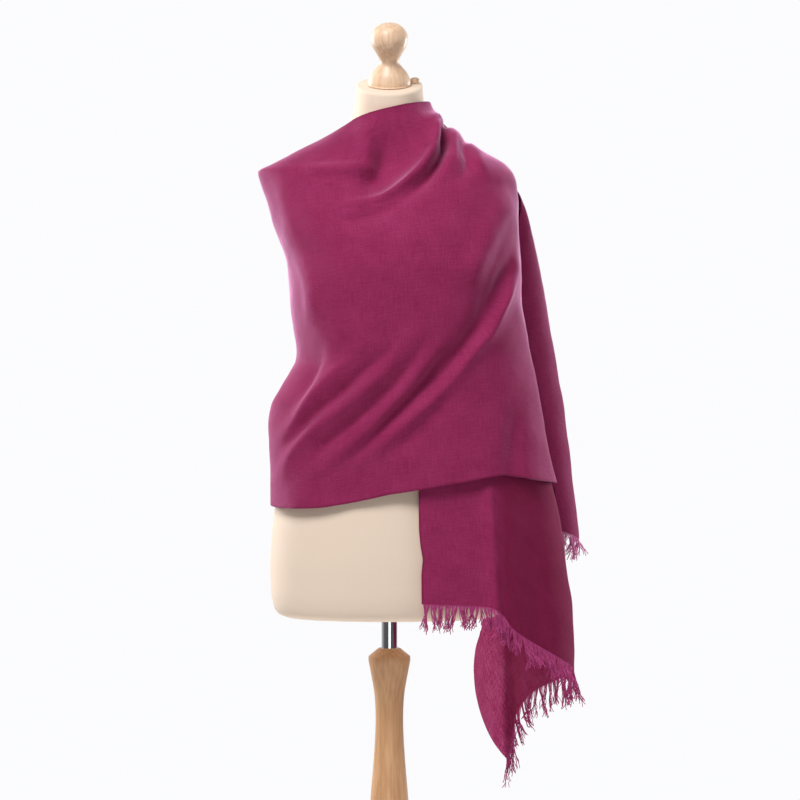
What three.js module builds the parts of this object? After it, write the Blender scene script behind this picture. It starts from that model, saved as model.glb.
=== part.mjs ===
// A pashmina shawl wrapped round a limbless dress form on a turned wooden stand.
// Millimetres, +Z up, the form faces -Y. The origin is the centre of the base's underside.
//
// The shawl is one rectangle of cloth, worn as one length: its first end hangs from the form's left
// shoulder, the cloth passes across the back, comes round the right shoulder, crosses the chest and goes
// over the left shoulder, and its second end hangs down the back. Each stretch is a wall of its own.
//
// Every wall lies on rings round the form. A ring is the outline of a level cut: a half width to each
// side, a depth in front and one behind, at a height above the torso's underside. The angle phi goes
// round it in degrees: 0 is the front, 90 the form's left side, 180 the back and -90 the right side.
import * as THREE from "three";

// Driving dimensions
const TORSO_BOTTOM = 800; // torso's underside above the floor
const NECK_TOP = 751; // top of the neck above the torso's underside, at its axis
const NECK_RIM = 4; // height of the neck's rounded rim
const NECK_TILT = 20; // degrees that the neck's top leans forward
const CLOTH = 1.6; // wall of the cloth
const SEAM_GAP = 0.3; // between two stretches, and between pieces that touch
const POLE_RADIUS = 11;
const COLUMN_TOP = -45.7; // below the torso's underside
const BASE_RADIUS = 165;
const BASE_HEIGHT = 28;
const KNOB_HEIGHT = 87.6;
const STRAND_LENGTH = 46; // fringe
const STRAND_WIDTH = 2.4;

const COLOURS = {
  cloth: { color: 0x9a2a5e, roughness: 0.85, metalness: 0 },
  jersey: { color: 0xe9d9c4, roughness: 0.9, metalness: 0 },
  beech: { color: 0xc8986a, roughness: 0.35, metalness: 0 },
  chrome: { color: 0xc9c9cc, roughness: 0.08, metalness: 1 },
};

const rad = THREE.MathUtils.degToRad;
const lerp = THREE.MathUtils.lerp;
const clamp = THREE.MathUtils.clamp;

// Short tables are objects of named columns; a curve through two of them is smooth and never overshoots.
function curve(table, key, value) {
  const rows = [...table].sort((a, b) => a[key] - b[key]);
  const xs = rows.map((row) => row[key]);
  const ys = rows.map((row) => row[value]);
  const slopes = xs.map((x, i) => {
    if (i === 0 || i === xs.length - 1) return 0;
    const before = (ys[i] - ys[i - 1]) / (x - xs[i - 1]);
    const after = (ys[i + 1] - ys[i]) / (xs[i + 1] - x);
    return before * after <= 0 ? 0 : (2 * before * after) / (before + after);
  });
  const last = xs.length - 1;
  slopes[0] = (ys[1] - ys[0]) / (xs[1] - xs[0]);
  slopes[last] = (ys[last] - ys[last - 1]) / (xs[last] - xs[last - 1]);
  return (x) => {
    if (x <= xs[0]) return ys[0];
    if (x >= xs[last]) return ys[last];
    let i = 0;
    while (x > xs[i + 1]) i++;
    const h = xs[i + 1] - xs[i];
    const t = (x - xs[i]) / h;
    const t2 = t * t;
    const t3 = t2 * t;
    return (
      (2 * t3 - 3 * t2 + 1) * ys[i] +
      (t3 - 2 * t2 + t) * h * slopes[i] +
      (3 * t2 - 2 * t3) * ys[i + 1] +
      (t3 - t2) * h * slopes[i + 1]
    );
  };
}

function polyline(table, key, value) {
  return (x) => {
    const i = Math.max(1, table.findIndex((row) => row[key] >= x));
    const [a, b] = [table[i - 1], table[i]];
    return lerp(a[value], b[value], (x - a[key]) / (b[key] - a[key]));
  };
}

function table(columns, rows) {
  return rows.map((row) => Object.fromEntries(columns.map((name, i) => [name, row[i]])));
}

// The dress form: level cuts of a general female torso with a small bust.
const TORSO = table(
  ["z", "side", "front", "back"],
  [
    [0, 146, 98, 98],
    [4, 156, 107, 107],
    [14, 163, 114, 115],
    [36, 167, 118, 119],
    [75, 168, 119, 121],
    [110, 166.5, 117, 120],
    [150, 162, 113, 115],
    [200, 150, 107, 104],
    [250, 130, 101, 88],
    [300, 119.5, 97, 80],
    [345, 121, 101, 82],
    [395, 126, 112, 88],
    [440, 131, 124, 94],
    [480, 134.5, 130, 99],
    [520, 141, 124, 103],
    [560, 151, 110, 105],
    [592, 159, 96, 102],
    [612, 163, 85, 98],
    [624, 159.5, 78, 93],
    [634, 149, 73, 88],
    [646, 131, 68, 83],
    [658, 108.5, 64, 77],
    [670, 88.5, 60, 71],
    [684, 68, 57, 63],
    [697, 57, 56, 59],
    [712, 51.5, 56, 53],
    [728, 48.5, 57, 47],
    [NECK_TOP - NECK_RIM, 47, 57, 43],
  ],
);
const BUST = { x: 66, z: 472, rise: 8, radius: 52 };
const TORSO_ROUNDNESS = 2.25;

// Half widths and depths of the cloth's rings. Outer rings carry the front wrap and the over end, inner
// rings the back wrap and the under end, which lie below them on the left shoulder.
const RIGHT_SIDE = table(
  ["z", "half"],
  [
    [0, 172],
    [100, 173],
    [158, 167.5],
    [213, 167.8],
    [240, 169],
    [270, 171.5],
    [296, 168],
    [321, 155],
    [345, 141],
    [361, 133],
    [374, 131],
    [404, 135.4],
    [437, 139.7],
    [467, 141.1],
    [495, 144],
    [528, 154.5],
    [560, 165.8],
    [592, 175],
    [616, 183],
    [625, 185],
    [634, 174],
    [646, 152],
    [670, 108],
    [690, 77],
    [706, 64],
    [730, 60],
  ],
);
const OUTER_LEFT_SIDE = table(
  ["z", "half"],
  [
    [180, 239],
    [220, 228.3],
    [262, 219.8],
    [305, 212.8],
    [333, 207],
    [377, 197.6],
    [410, 192],
    [442, 187],
    [467, 184.8],
    [501, 182.8],
    [545, 181.7],
    [585, 181],
    [610, 179.5],
    [622, 176],
    [636, 165],
    [646, 149],
    [660, 122],
    [675, 100],
    [690, 83],
    [705, 69],
    [716, 61],
    [726, 57],
  ],
);
const OVER_END_SIDE = table(
  ["z", "half"],
  [
    [80, 275],
    [108, 273],
    [154, 268],
    [204, 262],
    [261, 255],
    [326, 245.5],
    [391, 234],
    [463, 221],
    [520, 209],
    [563, 198],
    [585, 189],
    [600, 183],
    [610, 179.5],
    [622, 176],
    [636, 165],
    [646, 149],
    [660, 122],
    [675, 100],
    [690, 83],
    [705, 69],
    [716, 61],
    [726, 57],
  ],
);
const INNER_LEFT_SIDE = table(
  ["z", "half"],
  [
    [-240, 262],
    [-74, 261],
    [-25, 260],
    [12, 258],
    [48, 252],
    [119, 241],
    [174, 231],
    [220, 219],
    [262, 211],
    [305, 204],
    [377, 189.5],
    [442, 179],
    [501, 175],
    [545, 174],
    [585, 173.5],
    [606, 172],
    [618, 169],
    [630, 159],
    [646, 136],
    [660, 110],
    [675, 88],
    [690, 71],
    [705, 61.5],
    [720, 57],
  ],
);
const OUTER_FRONT = table(
  ["z", "depth"],
  [
    [150, 131],
    [250, 136],
    [330, 142],
    [400, 149],
    [450, 153],
    [480, 154],
    [520, 147],
    [560, 133],
    [600, 112],
    [630, 96],
    [660, 83],
    [690, 73],
    [705, 69],
    [730, 66],
  ],
);
const INNER_FRONT = table(
  ["z", "depth"],
  [
    [-80, 128],
    [0, 126],
    [60, 126],
    [110, 124],
    [180, 121],
    [250, 124],
    [330, 128],
    [400, 135],
    [450, 140],
    [480, 141.5],
    [520, 135],
    [560, 124],
    [600, 103],
    [630, 87],
    [660, 74],
    [690, 65],
    [705, 62],
    [730, 60],
  ],
);
const INNER_BACK = table(
  ["z", "depth"],
  [
    [-240, 128],
    [0, 127],
    [60, 128],
    [100, 128],
    [150, 124],
    [200, 118],
    [250, 112],
    [300, 109],
    [370, 108],
    [450, 111],
    [520, 114],
    [560, 115],
    [592, 114],
    [612, 111],
    [630, 104],
    [646, 97],
    [670, 84],
    [690, 72],
    [705, 65],
    [730, 58],
  ],
);
const ROUNDNESS = 2.3;
const CENTRED = table(["z", "y"], [
  [0, 0],
  [700, 0],
]);

// A point on a ring, with its height above the torso's underside.
function ringPoint(rings, phi, z) {
  const s = Math.sin(rad(phi));
  const half = s < 0 ? rings.right(z) : rings.left(z);
  const behind = Math.cos(rad(phi)) < 0;
  const back = s < 0 ? rings.rightBack : rings.leftBack;
  const depth = behind ? back(z) : rings.front(z);
  const share = Math.pow(Math.max(0, 1 - Math.pow(Math.abs(s), ROUNDNESS)), 1 / ROUNDNESS);
  return new THREE.Vector3(s * half, rings.middle(z) + (behind ? 1 : -1) * depth * share, z);
}

function ringSet({ right, left, front, rightBack, leftBack, middle = CENTRED }) {
  return {
    middle: curve(middle, "z", "y"),
    right: curve(right, "z", "half"),
    left: curve(left, "z", "half"),
    front: curve(front, "z", "depth"),
    rightBack: curve(rightBack, "z", "depth"),
    leftBack: curve(leftBack, "z", "depth"),
  };
}

function ringNormal(rings, phi, z) {
  const stepAngle = 0.5;
  const stepHeight = 1;
  const round = ringPoint(rings, phi + stepAngle, z).sub(ringPoint(rings, phi - stepAngle, z));
  const up = ringPoint(rings, phi, z + stepHeight).sub(ringPoint(rings, phi, z - stepHeight));
  return round.cross(up).normalize();
}

// Folds are soft ridges (rise above 0) or troughs (below 0) along a bowed line, seen from the front, or
// from behind on a back sheet. The upper side and the lower side of the line have widths of their own.
const FOLD_COLUMNS = [
  "x0", "z0", "xm", "zm", "x1", "z1", "rise", "upper", "lower", "fadeStart", "fadeEnd",
];
const FOLD_STEPS = 20;

function foldLine(fold) {
  const curveLine = new THREE.QuadraticBezierCurve(
    new THREE.Vector2(fold.x0, fold.z0),
    new THREE.Vector2(fold.xm, fold.zm),
    new THREE.Vector2(fold.x1, fold.z1),
  );
  return { ...fold, points: curveLine.getPoints(FOLD_STEPS) };
}

function foldRise(line, x, z) {
  let nearest = Infinity;
  let along = 0;
  let side = 0;
  const from = new THREE.Vector2();
  const way = new THREE.Vector2();
  for (let i = 0; i < FOLD_STEPS; i++) {
    const a = line.points[i];
    way.copy(line.points[i + 1]).sub(a);
    from.set(x - a.x, z - a.y);
    const t = clamp(from.dot(way) / way.lengthSq(), 0, 1);
    const across = Math.hypot(from.x - way.x * t, from.y - way.y * t);
    if (across < nearest) {
      nearest = across;
      along = (i + t) / FOLD_STEPS;
      side = way.x * from.y - way.y * from.x;
    }
  }
  // The lines run down and to the form's right, so a point above a line is on its right hand.
  const width = side < 0 ? line.upper : line.lower;
  const start = line.fadeStart > 0 ? clamp(along / line.fadeStart, 0, 1) : 1;
  const end = line.fadeEnd > 0 ? clamp((1 - along) / line.fadeEnd, 0, 1) : 1;
  const ease = (t) => t * t * (3 - 2 * t);
  return line.rise * Math.exp(-((nearest / width) ** 2)) * ease(start) * ease(end);
}

// A sheet is the part of its rings between a top and a bottom edge and two upright edges. u goes round
// it and v down it, both from 0 to 1. Its folds lift it along the rings' own normal: folds where it faces
// forward and foldsBehind where it faces back.
function sheet({ rings, columns, top, bottom, start, end, folds = [], foldsBehind = [] }) {
  const spread = curve(columns, "u", "share");
  const topEdge = curve(top, "phi", "z");
  const bottomEdge = curve(bottom, "phi", "z");
  const startEdge = polyline(start, "v", "phi");
  const endEdge = polyline(end, "v", "phi");
  const groups = [
    { facing: 1, lines: folds.map(foldLine) },
    { facing: -1, lines: foldsBehind.map(foldLine) },
  ];
  return (u, v) => {
    const across = (height) => lerp(startEdge(height), endEdge(height), spread(u));
    const phi = across(v);
    const z = lerp(topEdge(across(0)), bottomEdge(across(1)), v);
    const point = ringPoint(rings, phi, z);
    let rise = 0;
    for (const { facing, lines } of groups) {
      const share = clamp((facing * Math.cos(rad(phi)) + 0.2) / 0.25, 0, 1);
      if (share > 0) rise += share * lines.reduce((sum, line) => sum + foldRise(line, point.x, z), 0);
    }
    return point.addScaledVector(ringNormal(rings, phi, z), rise);
  };
}

// Folds of the back, seen from behind, which run on round the right side into the front wrap
const BACK_FOLDS = table(FOLD_COLUMNS, [
  [70, 640, 10, 560, -110, 520, 6, 20, 14, 0.2, 0.5],
  [88, 600, 30, 500, -100, 440, -5, 14, 18, 0.2, 0.4],
  [110, 560, 60, 430, -90, 330, 6, 18, 14, 0.2, 0.4],
  [120, 480, 70, 340, -100, 230, -5, 16, 16, 0.3, 0.3],
  [90, 330, 20, 230, -120, 180, 5, 14, 16, 0.4, 0.3],
  [100, 240, 60, 150, -40, 100, -4, 14, 16, 0.4, 0.2],
]);

// The front wrap
const FRONT_ROLL = table(
  ["z", "depth"],
  [
    [150, 44],
    [460, 45],
    [540, 52],
    [585, 75],
    [605, 112],
    [615, 121],
    [630, 114],
    [646, 107],
    [670, 94],
    [690, 82],
    [705, 74],
    [730, 67],
  ],
);
const OUTER_RINGS = ringSet({
  right: RIGHT_SIDE,
  left: OUTER_LEFT_SIDE,
  front: OUTER_FRONT,
  rightBack: INNER_BACK,
  leftBack: FRONT_ROLL,
});
const FRONT_FOLDS = table(FOLD_COLUMNS, [
  [62, 712, 50, 632, -90, 577, 7, 18, 14, 0, 0.5],
  [14, 693, 0, 618, -72, 606, -7, 16, 17, 0.3, 0.5],
  [76, 708, 68, 622, -42, 572, -8, 14, 16, 0.15, 0.5],
  [88, 690, 86, 636, 24, 569, 6, 14, 16, 0, 0.6],
  [112, 676, 119, 638, 112, 588, 3, 14, 16, 0, 0.6],
  [173, 617, 155, 551, 112, 469, 5, 20, 18, 0.2, 0.6],
  [165, 520, 146, 396, -16, 230, -7, 22, 15, 0.35, 0.45],
  [184, 530, 168, 402, -18, 212, 8, 15, 16, 0.3, 0.4],
  [150, 400, 104, 312, -20, 192, -4, 14, 18, 0.3, 0.4],
  [105, 445, 30, 371, -112, 245, -6, 16, 16, 0.4, 0.4],
  [107, 418, 55, 315, -76, 214, -5, 16, 15, 0.4, 0.4],
  [-5, 347, -119, 264, -149, 176, 7, 15, 15, 0.4, 0.25],
  [-51, 356, -121, 305, -162, 214, 7, 14, 14, 0.4, 0.25],
  [-122, 343, -155, 290, -166, 234, -6, 14, 14, 0.3, 0.3],
  [-58, 294, -113, 250, -130, 195, -5, 14, 16, 0.35, 0.35],
  [-119, 511, -99, 425, -126, 370, 7, 14, 20, 0.5, 0.05],
  [40, 226, -40, 178, -150, 172, -9, 55, 60, 0.3, 0.5],
  [140, 350, 144, 250, 147, 190, 7, 18, 24, 0.6, 0],
  [176, 330, 172, 250, 168, 196, -4, 16, 16, 0.5, 0],
]);
const frontWrap = sheet({
  rings: OUTER_RINGS,
  columns: table(["u", "share"], [
    [0, 0],
    [0.1, 0.13],
    [0.2, 0.22],
    [0.3, 0.3],
    [0.6, 0.59],
    [0.85, 0.86],
    [1, 1],
  ]),
  top: table(["phi", "z"], [
    [-120, 629],
    [-100, 626],
    [-90, 625],
    [-80, 626.5],
    [-70, 635],
    [-65, 651],
    [-60, 667],
    [-52, 685],
    [-42, 699],
    [-30, 706],
    [-18, 708],
    [0, 711],
    [25, 716],
    [50, 721],
    [70, 724],
    [97, 725],
  ]),
  bottom: table(["phi", "z"], [
    [-120, 150],
    [-90, 157],
    [-62, 155],
    [-40, 156],
    [-20, 163],
    [0, 175],
    [25, 192],
    [43, 201],
    [60, 194],
    [90, 188],
    [100, 187],
    [104, 178],
  ]),
  start: table(["v", "phi"], [
    [0, -120],
    [1, -120],
  ]),
  end: table(["v", "phi"], [
    [0, 97],
    [0.23, 97],
    [0.36, 102],
    [1, 104],
  ]),
  folds: FRONT_FOLDS,
  foldsBehind: BACK_FOLDS,
});

// The back wrap
const INNER_RINGS = ringSet({
  right: RIGHT_SIDE,
  left: INNER_LEFT_SIDE,
  front: INNER_FRONT,
  rightBack: INNER_BACK,
  leftBack: INNER_BACK,
});
// The seam of the back wrap with the under end runs from the left shoulder to the shawl's lower selvedge.
const SEAM_TOP = 704;
const SEAM_FOOT = 45;
const TIP = -220; // the corner of the under end, below the seam's foot
const SEAM_SHARE = (SEAM_TOP - SEAM_FOOT) / (SEAM_TOP - TIP);
const SEAM_FROM = 112;
const SEAM_TO = 142;
const backWrap = sheet({
  rings: INNER_RINGS,
  columns: table(["u", "share"], [
    [0, 0],
    [1, 1],
  ]),
  top: table(["phi", "z"], [
    [108, 704],
    [150, 702],
    [180, 699],
    [196, 690],
    [208, 672],
    [222, 648],
    [232, 634],
    [240, 629],
  ]),
  bottom: table(["phi", "z"], [
    [141.7, SEAM_FOOT],
    [160, 60],
    [180, 79],
    [205, 108],
    [225, 136],
    [240, 150],
  ]),
  start: table(["v", "phi"], [
    [0, SEAM_FROM + 0.55],
    [1, SEAM_TO + 0.6],
  ]),
  end: table(["v", "phi"], [
    [0, 239.7],
    [1, 239.7],
  ]),
  foldsBehind: BACK_FOLDS,
});

// The under end: it shows from the wrap's lower edge down to its hem, and round the hip to its corner
const UNDER_FOLDS = table(FOLD_COLUMNS, [
  [132, 228, 138, 120, 145, -40, 9, 12, 50, 0.35, 0],
  [182, 250, 196, 120, 212, -80, -5, 26, 20, 0.3, 0],
]);
const UNDER_FOLDS_BEHIND = table(FOLD_COLUMNS, [
  [168, 20, 166, -100, 173, TIP, 15, 26, 28, 0.3, 0],
  [222, 200, 226, 60, 226, -100, 6, 18, 18, 0.3, 0.2],
]);
// Below the seam's foot the corner's selvedge swings back and returns: degrees for shares of the way down
const FLARE_ROWS = 7;
const FLARE = table(
  ["share", "swing"],
  [
    [0, 0],
    [0.157, 2.2],
    [0.3, 7.4],
    [0.4, 9.4],
    [0.5, 10],
    [0.6, 9.6],
    [0.7, 8.4],
    [0.8, 6.4],
    [0.9, 3.4],
    [1, -1],
  ],
);
const swing = curve(FLARE, "share", "swing");
const underEnd = sheet({
  rings: INNER_RINGS,
  columns: table(["u", "share"], [
    [0, 0],
    [0.5, 0.47],
    [0.85, 0.88],
    [0.94, 0.98],
    [1, 1],
  ]),
  top: table(["phi", "z"], [
    [40, 701],
    [80, SEAM_TOP],
    [156, SEAM_TOP],
  ]),
  bottom: table(["phi", "z"], [
    [8, 27],
    [20, 25],
    [31, 22],
    [36, 12],
    [40, -8],
    [46, -22],
    [54, -36],
    [66, -54],
    [80, -69],
    [92, -78],
    [104, -88],
    [112, -96],
    [121, -107],
    [128, -119],
    [134, -139],
    [138, -162],
    [139.5, -196],
    [141, TIP],
  ]),
  start: table(["v", "phi"], [
    [0, 88],
    [0.07, 70],
    [0.2, 34],
    [0.35, 16],
    [0.6, 11.5],
    [0.8, 10],
    [0.91, 10.8],
    [1, 10],
  ]),
  end: [
    { v: 0, phi: SEAM_FROM },
    ...Array.from({ length: FLARE_ROWS + 1 }, (_, i) => {
      const t = i / FLARE_ROWS;
      return { v: lerp(SEAM_SHARE, 1, t), phi: SEAM_TO + swing(t) };
    }),
  ],
  folds: UNDER_FOLDS,
  foldsBehind: UNDER_FOLDS_BEHIND,
});

// The over end, seen from behind in its folds' table
const OVER_FRONT = table(
  ["z", "depth"],
  [
    [80, 72],
    [300, 71],
    [440, 68],
    [500, 55],
    [560, 29],
    [620, 20],
  ],
);
const OVER_BACK = table(
  ["z", "depth"],
  [
    [60, 84],
    [150, 81],
    [250, 78],
    [370, 76],
    [440, 76],
    [500, 86],
    [560, 104],
    [592, 117],
    [612, 121],
    [630, 114],
    [646, 107],
    [670, 94],
    [690, 82],
    [705, 74],
    [730, 67],
  ],
);
const OVER_MIDDLE = table(
  ["z", "y"],
  [
    [80, 66],
    [300, 64],
    [440, 60],
    [500, 48],
    [560, 26],
    [595, 8],
    [612, 0],
    [730, 0],
  ],
);
const OVER_RINGS = ringSet({
  right: RIGHT_SIDE,
  left: OVER_END_SIDE,
  front: OVER_FRONT,
  rightBack: OVER_BACK,
  leftBack: OVER_BACK,
  middle: OVER_MIDDLE,
});
const OVER_FOLDS = table(FOLD_COLUMNS, [
  [66, 690, 62, 430, 66, 80, 12, 16, 16, 0.25, 0],
  [84, 670, 100, 430, 108, 80, -11, 16, 16, 0.25, 0],
  [104, 650, 130, 430, 152, 80, 13, 17, 17, 0.25, 0],
  [128, 630, 160, 430, 196, 80, -11, 17, 17, 0.25, 0],
]);
const overEnd = sheet({
  rings: OVER_RINGS,
  columns: table(["u", "share"], [
    [0, 0],
    [1, 1],
  ]),
  top: table(["phi", "z"], [
    [90, 725],
    [170, 722],
  ]),
  bottom: table(["phi", "z"], [
    [62, 119],
    [90, 105],
    [112, 112],
    [130, 112],
    [150, 96],
    [176, 82],
  ]),
  start: table(["v", "phi"], [
    [0, 97.9],
    [0.19, 99],
    [0.22, 90],
    [0.235, 79],
    [0.27, 68],
    [0.34, 60.5],
    [0.43, 57],
    [0.55, 56.5],
    [0.66, 57],
    [0.76, 58.8],
    [0.86, 62.3],
    [1, 63.5],
  ]),
  end: table(["v", "phi"], [
    [0, 160],
    [0.5, 172],
    [1, 176],
  ]),
  foldsBehind: OVER_FOLDS,
});

// Turns a grid of points into a closed wall. Its outer face is the grid, its inner face lies inwards.
function wall(surface, across, rows, thickness) {
  const down = rows.length - 1;
  const outer = rows.map((v) => Array.from({ length: across + 1 }, (_, i) => surface(i / across, v)));
  const inner = outer.map((row, j) =>
    row.map((point, i) => {
      const round = outer[j][Math.min(i + 1, across)].clone().sub(outer[j][Math.max(i - 1, 0)]);
      const fall = outer[Math.min(j + 1, down)][i].clone().sub(outer[Math.max(j - 1, 0)][i]);
      return point.clone().addScaledVector(fall.cross(round).normalize(), -thickness);
    }),
  );
  const count = (across + 1) * (down + 1);
  const at = (layer, i, j) => layer * count + j * (across + 1) + i;
  const faces = [];
  const quad = (a, b, c, d) => faces.push(a, b, c, a, c, d);
  for (let j = 0; j < down; j++)
    for (let i = 0; i < across; i++) {
      quad(at(0, i, j), at(0, i, j + 1), at(0, i + 1, j + 1), at(0, i + 1, j));
      quad(at(1, i, j), at(1, i + 1, j), at(1, i + 1, j + 1), at(1, i, j + 1));
    }
  for (let i = 0; i < across; i++) {
    quad(at(0, i, 0), at(0, i + 1, 0), at(1, i + 1, 0), at(1, i, 0));
    quad(at(0, i, down), at(1, i, down), at(1, i + 1, down), at(0, i + 1, down));
  }
  for (let j = 0; j < down; j++) {
    quad(at(0, 0, j), at(1, 0, j), at(1, 0, j + 1), at(0, 0, j + 1));
    quad(at(0, across, j), at(0, across, j + 1), at(1, across, j + 1), at(1, across, j));
  }
  const positions = [...outer.flat(), ...inner.flat()].flatMap((p) => [p.x, p.y, p.z]);
  const geometry = new THREE.BufferGeometry();
  geometry.setAttribute("position", new THREE.Float32BufferAttribute(positions, 3));
  geometry.setIndex(faces);
  return geometry;
}

// The torso: closed rings with a flat underside and a neck whose top leans forward
function torsoPoint(front, side, back, phi, z) {
  const s = Math.sin(rad(phi));
  const c = Math.cos(rad(phi));
  const share = Math.pow(Math.max(0, 1 - Math.pow(Math.abs(s), TORSO_ROUNDNESS)), 1 / TORSO_ROUNDNESS);
  const point = new THREE.Vector3(s * side, c < 0 ? back * share : -front * share, z);
  if (c > 0) {
    const away = (Math.abs(point.x) - BUST.x) ** 2 + (z - BUST.z) ** 2;
    point.y -= BUST.rise * Math.exp(-away / BUST.radius ** 2) * share;
  }
  return point;
}

function torsoGeometry() {
  const across = 28;
  const side = curve(TORSO, "z", "side");
  const front = curve(TORSO, "z", "front");
  const back = curve(TORSO, "z", "back");
  const neckStart = 697;
  const neckEnd = NECK_TOP - NECK_RIM;
  const lean = Math.tan(rad(NECK_TILT));
  const rows = TORSO.map(({ z }) =>
    Array.from({ length: across }, (_, i) => {
      const point = torsoPoint(front(z), side(z), back(z), (i * 360) / across, z);
      point.z += clamp((z - neckStart) / (neckEnd - neckStart), 0, 1) * lean * point.y;
      return point;
    }),
  );
  const inset = 0.93;
  const rimPoint = (x, y) => new THREE.Vector3(x, y, NECK_TOP + lean * y);
  rows.push(rows.at(-1).map(({ x, y }) => rimPoint(x * inset, y * inset)));
  const positions = rows.flat().flatMap((p) => [p.x, p.y, p.z]);
  const centre = (row) => row.reduce((sum, p) => sum.add(p), new THREE.Vector3()).divideScalar(across);
  const bottom = centre(rows[0]);
  const top = centre(rows.at(-1));
  positions.push(bottom.x, bottom.y, bottom.z, top.x, top.y, top.z);
  const faces = [];
  const low = rows.length * across;
  for (let i = 0; i < across; i++) {
    const next = (i + 1) % across;
    for (let j = 0; j < rows.length - 1; j++) {
      const a = j * across;
      faces.push(a + i, a + next, a + across + next, a + i, a + across + next, a + across + i);
    }
    const last = (rows.length - 1) * across;
    faces.push(low, next, i, low + 1, last + i, last + next);
  }
  const geometry = new THREE.BufferGeometry();
  geometry.setAttribute("position", new THREE.Float32BufferAttribute(positions, 3));
  geometry.setIndex(faces);
  return geometry;
}

// A turned shape from radius and height pairs, standing on +Z
function turned(profile, sides) {
  const points = profile.map(([radius, z]) => new THREE.Vector2(radius, z));
  return new THREE.LatheGeometry(points, sides).rotateX(Math.PI / 2);
}

const KNOB_PROFILE = [
  [0, 0], [28.5, 0], [30, 3], [29.3, 8], [25, 17], [18.4, 25], [14.2, 31], [14.4, 37.5],
  [18.6, 46], [24, 55], [26.3, 63.5], [25.2, 71.5], [20, 80.5], [11, 86.3], [0, KNOB_HEIGHT],
];
const PEG_PROFILE = [[0, 0], [6.5, 0], [7, 2], [6, 5], [3.5, 6.6], [0, 7]];
const POLE_END = -300; // the pole stands in the column's bore
const BORE = POLE_RADIUS + SEAM_GAP;
const COLUMN_FOOT = BASE_HEIGHT + SEAM_GAP - TORSO_BOTTOM; // the column stands on the base
const COLUMN_PROFILE = [
  [0, COLUMN_FOOT], [42, COLUMN_FOOT], [42, COLUMN_FOOT + 14], [34, COLUMN_FOOT + 24],
  [27, COLUMN_FOOT + 36], [27, COLUMN_FOOT + 60], [33, COLUMN_FOOT + 110], [35, -560], [34, -440],
  [31, -330], [27, -262], [22.6, -209], [19.9, -165], [19.6, -135], [21.2, -110], [24.8, -88],
  [28.6, -68], [29.6, -62], [29.4, -57], [BORE + 4, COLUMN_TOP], [BORE, COLUMN_TOP],
  [BORE, POLE_END - SEAM_GAP], [0, POLE_END - SEAM_GAP],
];
const BASE_PROFILE = [
  [0, 0], [BASE_RADIUS - 3, 0], [BASE_RADIUS, 3], [BASE_RADIUS, 14], [BASE_RADIUS - 5, 21],
  [BASE_RADIUS - 16, BASE_HEIGHT - 2], [BASE_RADIUS - 30, BASE_HEIGHT], [0, BASE_HEIGHT],
];

// Fringe
const FRINGE_STRIP = 3;
const FRINGE_GAP = 1.1; // between the cloth's edge and the strip
const STRAND = table(
  ["drop", "width", "sway"],
  [
    [0.2, 1, 0.1],
    [1, 0.5, 1],
  ],
);

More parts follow.
